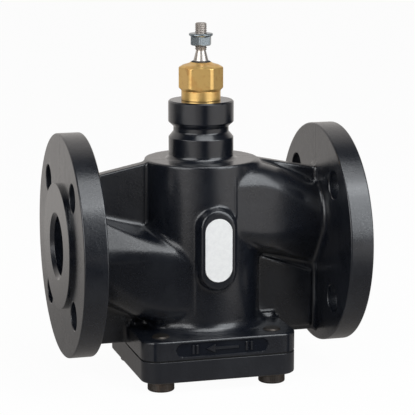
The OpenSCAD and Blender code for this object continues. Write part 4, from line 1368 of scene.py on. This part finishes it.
@dataclass
class SocketScrew:
    """A socket head screw, head down, with a knurled side."""

    head_r: float = 9.0
    head_h: float = 12.0
    r: float = 6.0
    tip_z: float = 37.0
    tip_edge: float = 1.0
    socket_w: float = 10.0
    socket_z: float = 6.0
    rim_r: float = 6.8
    head_edge: float = 1.6
    side_in: float = 0.05
    knurls: int = 54
    knurl_depth: float = 0.2

    def skin(self) -> Skin:
        """The radius follows the profile, less a fine saw of the angle on the head's side.

        The socket's rows take a hexagon's radius at each angle in place of a circle's.

        Returns:
            The closed screw, on the stem axis.
        """
        a = np.linspace(0, 2 * np.pi, self.knurls * 4, endpoint=False)
        hexagon = hexagon_reach(a, self.socket_w, 0)
        side = self.head_r - self.side_in
        knurled = side - self.knurl_depth * np.array([0, 0.5, 1, 0.5])[np.arange(len(a)) % 4]
        bend = eased([(self.head_edge, 0, 0), (0, 0, 1.1), (0, 3, 0)], 4)[1:-1]
        return ringed([
            (0, self.socket_z + 1.6), (hexagon, self.socket_z), (hexagon, 0.5),
            (hexagon + 0.45, 0.05), (self.rim_r, 0.0), (self.head_r - self.head_edge, 0.0),
            *((self.head_r - inset, z) for inset, z in bend),
            (side, 1.7), (knurled, 2.1), (knurled, self.head_h - 0.8),
            (self.head_r - 0.4, self.head_h), (self.r, self.head_h), (self.r, 20.0),
            (self.r, self.tip_z - self.tip_edge),
            (self.r - self.tip_edge, self.tip_z), (0, self.tip_z)], a)


@dataclass
class NamePlate(Part):
    """The pale plate on the boss, left without words."""

    width: float = 18.5
    height: float = 42.5
    thick: float = 0.6
    back_y: float = -43.5
    groove: tuple[float, ...] = (0.22, 0.6, 1.15, 1.3, 1.5, 1.65, 2.2, 5.0)
    groove_depth: float = 0.07

    def build(self) -> None:
        """Rings of one stadium at growing insets, from the back edge over the rim to the middle."""
        r, flat = self.width / 2, (self.height - self.width) / 2
        a = np.linspace(0, np.pi, 49)
        way = np.concatenate([np.stack([s * np.cos(a), s * np.sin(a)], axis=1) for s in (1, -1)])
        middle = np.repeat([flat, -flat], len(a))
        face, deep = self.back_y - self.thick, self.groove_depth
        outline = [(0, self.back_y + 0.1), (0, self.back_y - 0.35), (deep, face + deep)]
        outline += [(inset, face + deep if inset in (1.3, 1.5) else face) for inset in self.groove]
        rows = []
        for inset, y in outline + [(r - 0.02, face)]:
            x, z = (r - inset) * way[:, 0], middle + (r - inset) * way[:, 1]
            rows.append(np.stack([x, y + 0 * x, AXIS_Z + z], axis=-1))
        centre, back = rows[-1] * [0, 1, 1], rows[0] * [0, 1, 0] + rows[-1] * [0, 0, 1]
        skin = Skin.grid(np.stack([back, *rows, centre]), ring_columns=True).welded().outward()
        self.put(skin, "name_plate_face", "plate_grey", "plate_grey", "name_plate", crease=25)


# ---- The gland and the stem -----------------------------------------------------------------


@dataclass
class Gland(Part):
    """The brass packing gland: threaded shank, round collar, turned hexagon and wiper rim."""

    z0: float = 163.5
    seat_z: float = 187.52
    shank_r: float = 11.95
    collar_r: float = 13.15
    relief_r: float = 12.7
    hex_z: tuple[float, float] = (194.0, 211.0)
    hex_w: float = 27.0
    hex_r: float = 14.9
    turn: float = -16.0
    rim: tuple[float, float] = (7.9, 213.0)
    wiper: tuple[float, float] = (6.5, 209.5)
    bore: tuple[float, float] = (5.6, 208.0)
    packing_r: float = 8.0
    corner_soft: float = 0.08
    lip: tuple[tuple[float, float, float], ...] = (
        (5.06, 209.55, 0), (6.44, 209.55, 0.1), (6.44, 213.1, 0.3), (6.0, 213.55, 0.25),
        (5.45, 213.3, 0.2), (5.25, 213.75, 0.1), (5.06, 213.7, 0), (5.06, 209.55, 0))

    def _profiles(self) -> tuple[Array, Array, Array]:
        """The (radius, height) profiles of the shank and collar, of the hexagon, and of the top."""
        z0, z1 = self.hex_z
        (rim_r, rim_z), (wiper_r, wiper_z), (bore_r, bore_z) = self.rim, self.wiper, self.bore
        low = eased([
            (self.packing_r, self.z0, 0), (self.shank_r - 0.75, self.z0, 0.2),
            (self.shank_r, self.z0 + 0.8, 0.2), (self.shank_r, self.seat_z, 0),
            (self.collar_r, self.seat_z, 0.35), (self.collar_r, z0 - 0.15, 0.3),
            (self.relief_r, z0, 0.15)], 3)
        cap = eased([
            (self.relief_r, z0, 0), (self.collar_r + 0.1, z0 + 0.1, 0.1),
            (self.hex_r, z0 + 1.8, 0.5), (self.hex_r, z1 - 1.7, 0.9), (12.2, z1 - 0.1, 0.9),
            (9.2, z1 + 0.75, 0.8),
            (rim_r, z1 + 1.25, 0)], 5)[1:]
        wall = np.linspace(z0 + 2.4, z1 - 2.2, 10)
        split = int(np.argmax(np.diff(cap[:, 1]))) + 1
        cap = np.insert(cap, split, np.stack([self.hex_r + 0 * wall, wall], axis=1), axis=0)
        top = eased([
            (rim_r - 0.1, z1 + 1.28, 0), (wiper_r + 0.35, rim_z, 0.3), (wiper_r, rim_z - 0.25, 0.2),
            (wiper_r, wiper_z, 0), (bore_r, wiper_z, 0), (bore_r, bore_z, 0),
            (self.packing_r, bore_z, 0), (self.packing_r, self.z0, 0)], 3)
        return low, cap, top

    def build(self) -> None:
        """Turn the gland's profile, with the radius of the hexagon's rows cut to its flats.

        Rows of the hexagon take the smaller of the turned radius and the hexagon's reach, drawn
        together by a soft minimum, so that each corner has a fine round edge.
        """
        land = math.degrees(math.acos(self.hex_w / 2 / self.hex_r))
        sides = np.concatenate([np.linspace(-30, 30, 25), [-land, land, -land + 0.7, land - 0.7]])
        sides = np.unique(np.round(sides, 6))[:-1]
        angle = np.radians(self.turn + 30 + np.concatenate([sides + 60 * k for k in range(6)]))
        flats = hexagon_reach(angle, self.hex_w, self.turn)
        low, cap, top = self._profiles()
        hexagon = [(soft_least(r, flats, self.corner_soft), z) for r, z in cap]
        self.put(ringed([*low, *hexagon, *top], angle), "packing_gland", "gland_brass",
                 "gland_brass", "gland_housing", crease=24)
        self.put(turned(eased(self.lip, 3), 96), "wiper_lip", "black_rubber", "black_rubber",
                 "stem_wiper")


@dataclass
class PackingSpring(Part):
    """The wire spring under the packing, with its ends wound flat."""

    z0: float = 169.0
    length: float = 14.0
    wire: float = 1.4
    coil_r: float = 6.77
    turns: float = 6.0
    thinned: float = 0.98

    def build(self) -> None:
        """Carry the wire's circle along a helix that stays flat in the first and last half turn."""
        t = np.linspace(0, 1, int(self.turns * 40) + 1)[:, None]
        a = 2 * np.pi * self.turns * t
        share = 0.5 / self.turns
        rise = np.clip((t - share) / (1 - 2 * share), 0, 1)
        z = self.z0 + self.wire / 2 + (self.length - self.wire) * rise
        b = np.linspace(0, 2 * np.pi, 14, endpoint=False)[None, :]
        r = self.coil_r + self.wire / 2 * self.thinned * np.cos(b)
        up = z + self.wire / 2 * self.thinned * np.sin(b)
        ring = np.stack([r * np.cos(a), r * np.sin(a), up], axis=-1)
        start, end = (np.repeat(ring[k].mean(axis=0)[None, None], b.size, axis=1) for k in (0, -1))
        skin = Skin.grid(np.vstack([start, ring, end]), ring_columns=True).welded().outward()
        self.put(skin, "packing_spring_wire", "spring_steel", "spring_steel", "packing_spring")


@dataclass
class Spindle(Part):
    """The stem with both its threads, and the flange nut on the upper one."""

    r: float = 5.0
    thread_r: float = 4.0
    thread_edge: float = 0.8
    pitch: float = 1.25
    low_z: float = 73.1
    shoulder_z: float = 111.0
    cone_z: tuple[float, float] = (214.0, 220.0)
    tip_z: float = 239.0
    nut_z: tuple[float, float] = (224.0, 232.0)
    nut_w: float = 13.0
    nut_bore: float = 4.05
    nut_flange: tuple[float, float] = (8.0, 1.4)
    nut_turn: float = 8.0
    nut_edge: float = 0.5
    chamfer_slope: float = 1.4
    skirt_slope: float = 1.35

    def _rod(self) -> Skin:
        """The stem: its lower thread, and a turned rod that ends in a cone."""
        (z0, z1), low = self.cone_z, self.shoulder_z
        rod = turned(eased([
            (0, low, 0), (self.r - 0.3, low, 0.1), (self.r, low + 0.4, 0.1), (self.r, z0, 0.6),
            (self.thread_r - 0.6, z1 + 0.1, 0.3), (self.thread_r - 0.75, z1 + 1.2, 0),
            (0, z1 + 1.2, 0)], 4), 96)
        return rod + threaded(self.thread_r, self.pitch, self.low_z, low + 0.1, self.thread_edge)

    def _nut(self) -> Skin:
        """The nut: the larger of a chamfered hexagon and a sloping flange, round the stem."""
        (z0, z1), (flange_r, flange_t), bore = self.nut_z, self.nut_flange, self.nut_bore
        a = np.radians(self.nut_turn + np.arange(0, 360, 2.5))
        tip = self.nut_w / 2 / math.cos(math.pi / 6) - 0.12
        hexagon = np.minimum(hexagon_reach(a, self.nut_w, self.nut_turn), tip)
        foot, under = self.nut_w / 2 - 0.25, z1 - flange_t
        rows = [(bore, z0 + self.nut_edge), (bore + self.nut_edge, z0), (foot, z0)]
        for z in np.concatenate([np.linspace(z0 + 0.08, z0 + 1.0, 7),
                                 np.linspace(z0 + 1.5, under - 1.5, 5),
                                 np.linspace(under - 1.3, under, 8)]):
            chamfer = foot + (z - z0) * self.chamfer_slope
            skirt = min(flange_r - 0.15 - (under - z) * self.skirt_slope, flange_r)
            rows.append((np.maximum(np.minimum(hexagon, chamfer), skirt), z))
        rows += [(flange_r, under + 0.25), (flange_r, z1 - 0.35), (flange_r - 0.35, z1),
                 (bore + self.nut_edge, z1), (bore, z1 - self.nut_edge)]
        return ringed(rows, a, ring_rows=True)

    def build(self) -> None:
        """Make the stem, its upper thread, which carries the nut, and the nut."""
        thread = threaded(self.thread_r, self.pitch, self.cone_z[1] + 0.6, self.tip_z,
                          self.thread_edge, 64, 10)
        stem = {"slot": "stem_steel", "node": "stem", "body": Body.SPINDLE, "crease": 75}
        self.put(self._rod(), "stem_rod", "stem_steel", **stem)
        self.put(thread, "stem_thread", "thread_steel", **stem)
        self.put(self._nut(), "flange_nut", "zinc_plate", "zinc_plate", "lock_nut", Body.NUT, 25)


# ---- The studio -----------------------------------------------------------------------------


def aimed(name: str, data: bpy.types.ID, place: Sequence[float],
          aim: Sequence[float]) -> bpy.types.Object:
    """A camera or lamp at a place, turned to face the point aim."""
    holder = bpy.data.objects.new(name, data)
    holder.location = place
    holder.rotation_euler = (Vector(aim) - Vector(place)).to_track_quat("-Z", "Y").to_euler()
    bpy.context.scene.collection.objects.link(holder)
    return holder


@dataclass
class Softbox:
    """One rectangular lamp that faces a point."""

    name: str
    place: tuple[float, float, float]
    size: tuple[float, float]
    radiance: float
    colour: Colour = (1.0, 1.0, 1.0)
    aim: tuple[float, float, float] = (0.0, 0.0, 0.11)

    def build(self) -> None:
        """Make the lamp; its power is pi times its area times its radiance."""
        lamp = bpy.data.lights.new(self.name, "AREA")
        lamp.shape = "RECTANGLE"
        lamp.size, lamp.size_y = self.size
        lamp.energy = math.pi * self.size[0] * self.size[1] * self.radiance
        lamp.color = self.colour
        aimed(self.name, lamp, self.place, self.aim)


@dataclass
class Studio:
    """The camera, the lamps, the pale floor and the surroundings."""

    eye: tuple[float, float, float] = (-0.3416, -1.2183, 0.3618)
    target: tuple[float, float, float] = (0.00456, 0.0, 0.11352)
    lens: float = 165.1
    lamps: tuple[Softbox, ...] = (
        Softbox("right front box", (0.78, -1.02, 0.78), (1.0, 1.35), 3.25, (0.93, 0.965, 1.0)),
        Softbox("left box", (-1.145, -0.715, 0.62), (1.3, 1.1), 2.6, (0.98, 0.985, 1.0)),
        Softbox("top box", (0.12, -0.56, 1.17), (0.9, 0.78), 2.8, (0.95, 0.975, 1.0)),
    )
    front_level: float = 0.02
    back_level: float = 0.60
    room_level: float = 0.16
    floor_white: float = 0.965
    floor_matt: Colour = (0.86, 0.86, 0.85)
    floor_rings: tuple[float, ...] = (0.0, 0.3, 0.8, 1.6, 3.0)
    glow_front: float = 0.02
    glow_under: float = 0.21
    glow_behind: float = 0.27
    glow_right: float = 0.75
    glow_left: float = 0.62
    warm: Colour = (1.0, 0.955, 0.92)

    def _camera(self) -> None:
        """The camera at the photograph's angle."""
        data = bpy.data.cameras.new("camera")
        data.lens, data.sensor_width, data.clip_end = self.lens, 36.0, 20.0
        bpy.context.scene.camera = aimed("camera", data, self.eye, self.target)

    @staticmethod
    def _mirrored(g: Graph) -> Wire:
        """1 for rays that come by way of gloss or glass."""
        gloss = g.add("ShaderNodeLightPath", {}, {}, "Is Glossy Ray")
        return (gloss + g.add("ShaderNodeLightPath", {}, {}, "Is Transmission Ray")).limited()

    def _world(self) -> None:
        """White to the camera; to the object a pale room behind and a dim one in front."""
        world = bpy.data.worlds.new("studio")
        world.use_nodes = True
        g = Graph(world.node_tree)
        way = g.add("ShaderNodeTexCoord", {}, {}, "Generated")
        _, y, z = g.parts(way)
        behind = (y + z * 0.15).between(0.30, 0.72)
        level = behind * (self.back_level - self.front_level) + self.front_level
        seen = g.add("ShaderNodeLightPath", {}, {}, "Is Camera Ray")
        mirrored = self._mirrored(g)
        strength = seen + (1 - seen) * (mirrored * level + (1 - mirrored) * self.room_level)
        colour = g.tinted(seen, self.warm, (1.0, 1.0, 1.0))
        shader = g.add("ShaderNodeBackground", {}, {"Color": colour, "Strength": strength})
        g.finish(shader, "ShaderNodeOutputWorld")
        bpy.context.scene.world = world

    def _floor(self) -> None:
        """A round pale floor that keeps the shadow and shows nearly white.

        Gloss sees it otherwise: dim in front, brighter under and behind the valve, and bright at
        both sides, by its place in metres.
        """
        g, material = Graph.of_material("pale floor")
        matt = g.add("ShaderNodeBsdfDiffuse", {}, {"Color": self.floor_matt})
        white = g.add("ShaderNodeEmission", {}, {"Color": (1.0, 1.0, 1.0), "Strength": 1.0})
        seen = g.add("ShaderNodeLightPath", {}, {}, "Is Camera Ray")
        pale = g.add("ShaderNodeMixShader", {}, {0: seen * self.floor_white, 1: matt, 2: white})
        x, y, _ = g.parts(g.add("ShaderNodeTexCoord", {}, {}, "Object"))
        right, left = x.between(0.12, 0.27), (0 - x).between(0.20, 0.40)
        sides = right * self.glow_right + left * self.glow_left
        behind = (y - abs(x) * 0.4).between(0.05, 0.5) * self.glow_behind
        lit = y.between(-0.40, -0.05) * self.glow_under + behind + self.glow_front
        lit = (lit + sides * (1 - y.between(-0.32, -0.10))).limited()
        glow = g.add("ShaderNodeEmission", {}, {"Color": self.warm, "Strength": lit})
        g.finish(g.add("ShaderNodeMixShader", {}, {0: self._mirrored(g), 1: pale, 2: glow}))
        a = np.linspace(0, 2 * np.pi, 97)[:-1]
        r = np.array(self.floor_rings)[:, None]
        points = np.stack([r * np.cos(a), r * np.sin(a), 0 * r + 0 * a], axis=-1) / MM
        Skin.grid(points, ring_columns=True).welded().to_object("floor", material)

    def build(self) -> None:
        """Set the whole studio up."""
        self._camera()
        self._world()
        self._floor()
        for lamp in self.lamps:
            lamp.build()
        bpy.context.scene.view_settings.view_transform = "Standard"


def dress_frame(finishes: Finishes) -> None:
    """Give every CAD node that still shows the finish of its slot in the record."""
    slots = {row["node"]: row["material_slot"] for row in frame["record"]["subparts"]}
    for name, node in frame["nodes"].items():
        material = finishes.get(slots[name])
        node.data.materials.clear()
        node.data.materials.append(material)
        LOG.info("%s: CAD solid in %s", name, material.name)


def main() -> None:
    """Build the valve piece by piece."""
    logging.basicConfig(level=logging.INFO, format="%(message)s")
    finishes = Finishes()
    Studio().build()
    dress_frame(finishes)
    for part in (CastBody(finishes), PipeFlange(finishes, False), PipeFlange(finishes, True),
                 BaseFlange(finishes), Neck(finishes), BottomCover(finishes), NamePlate(finishes),
                 Gland(finishes), PackingSpring(finishes), Spindle(finishes)):
        part.build()


if __name__ == "__main__":
    main()
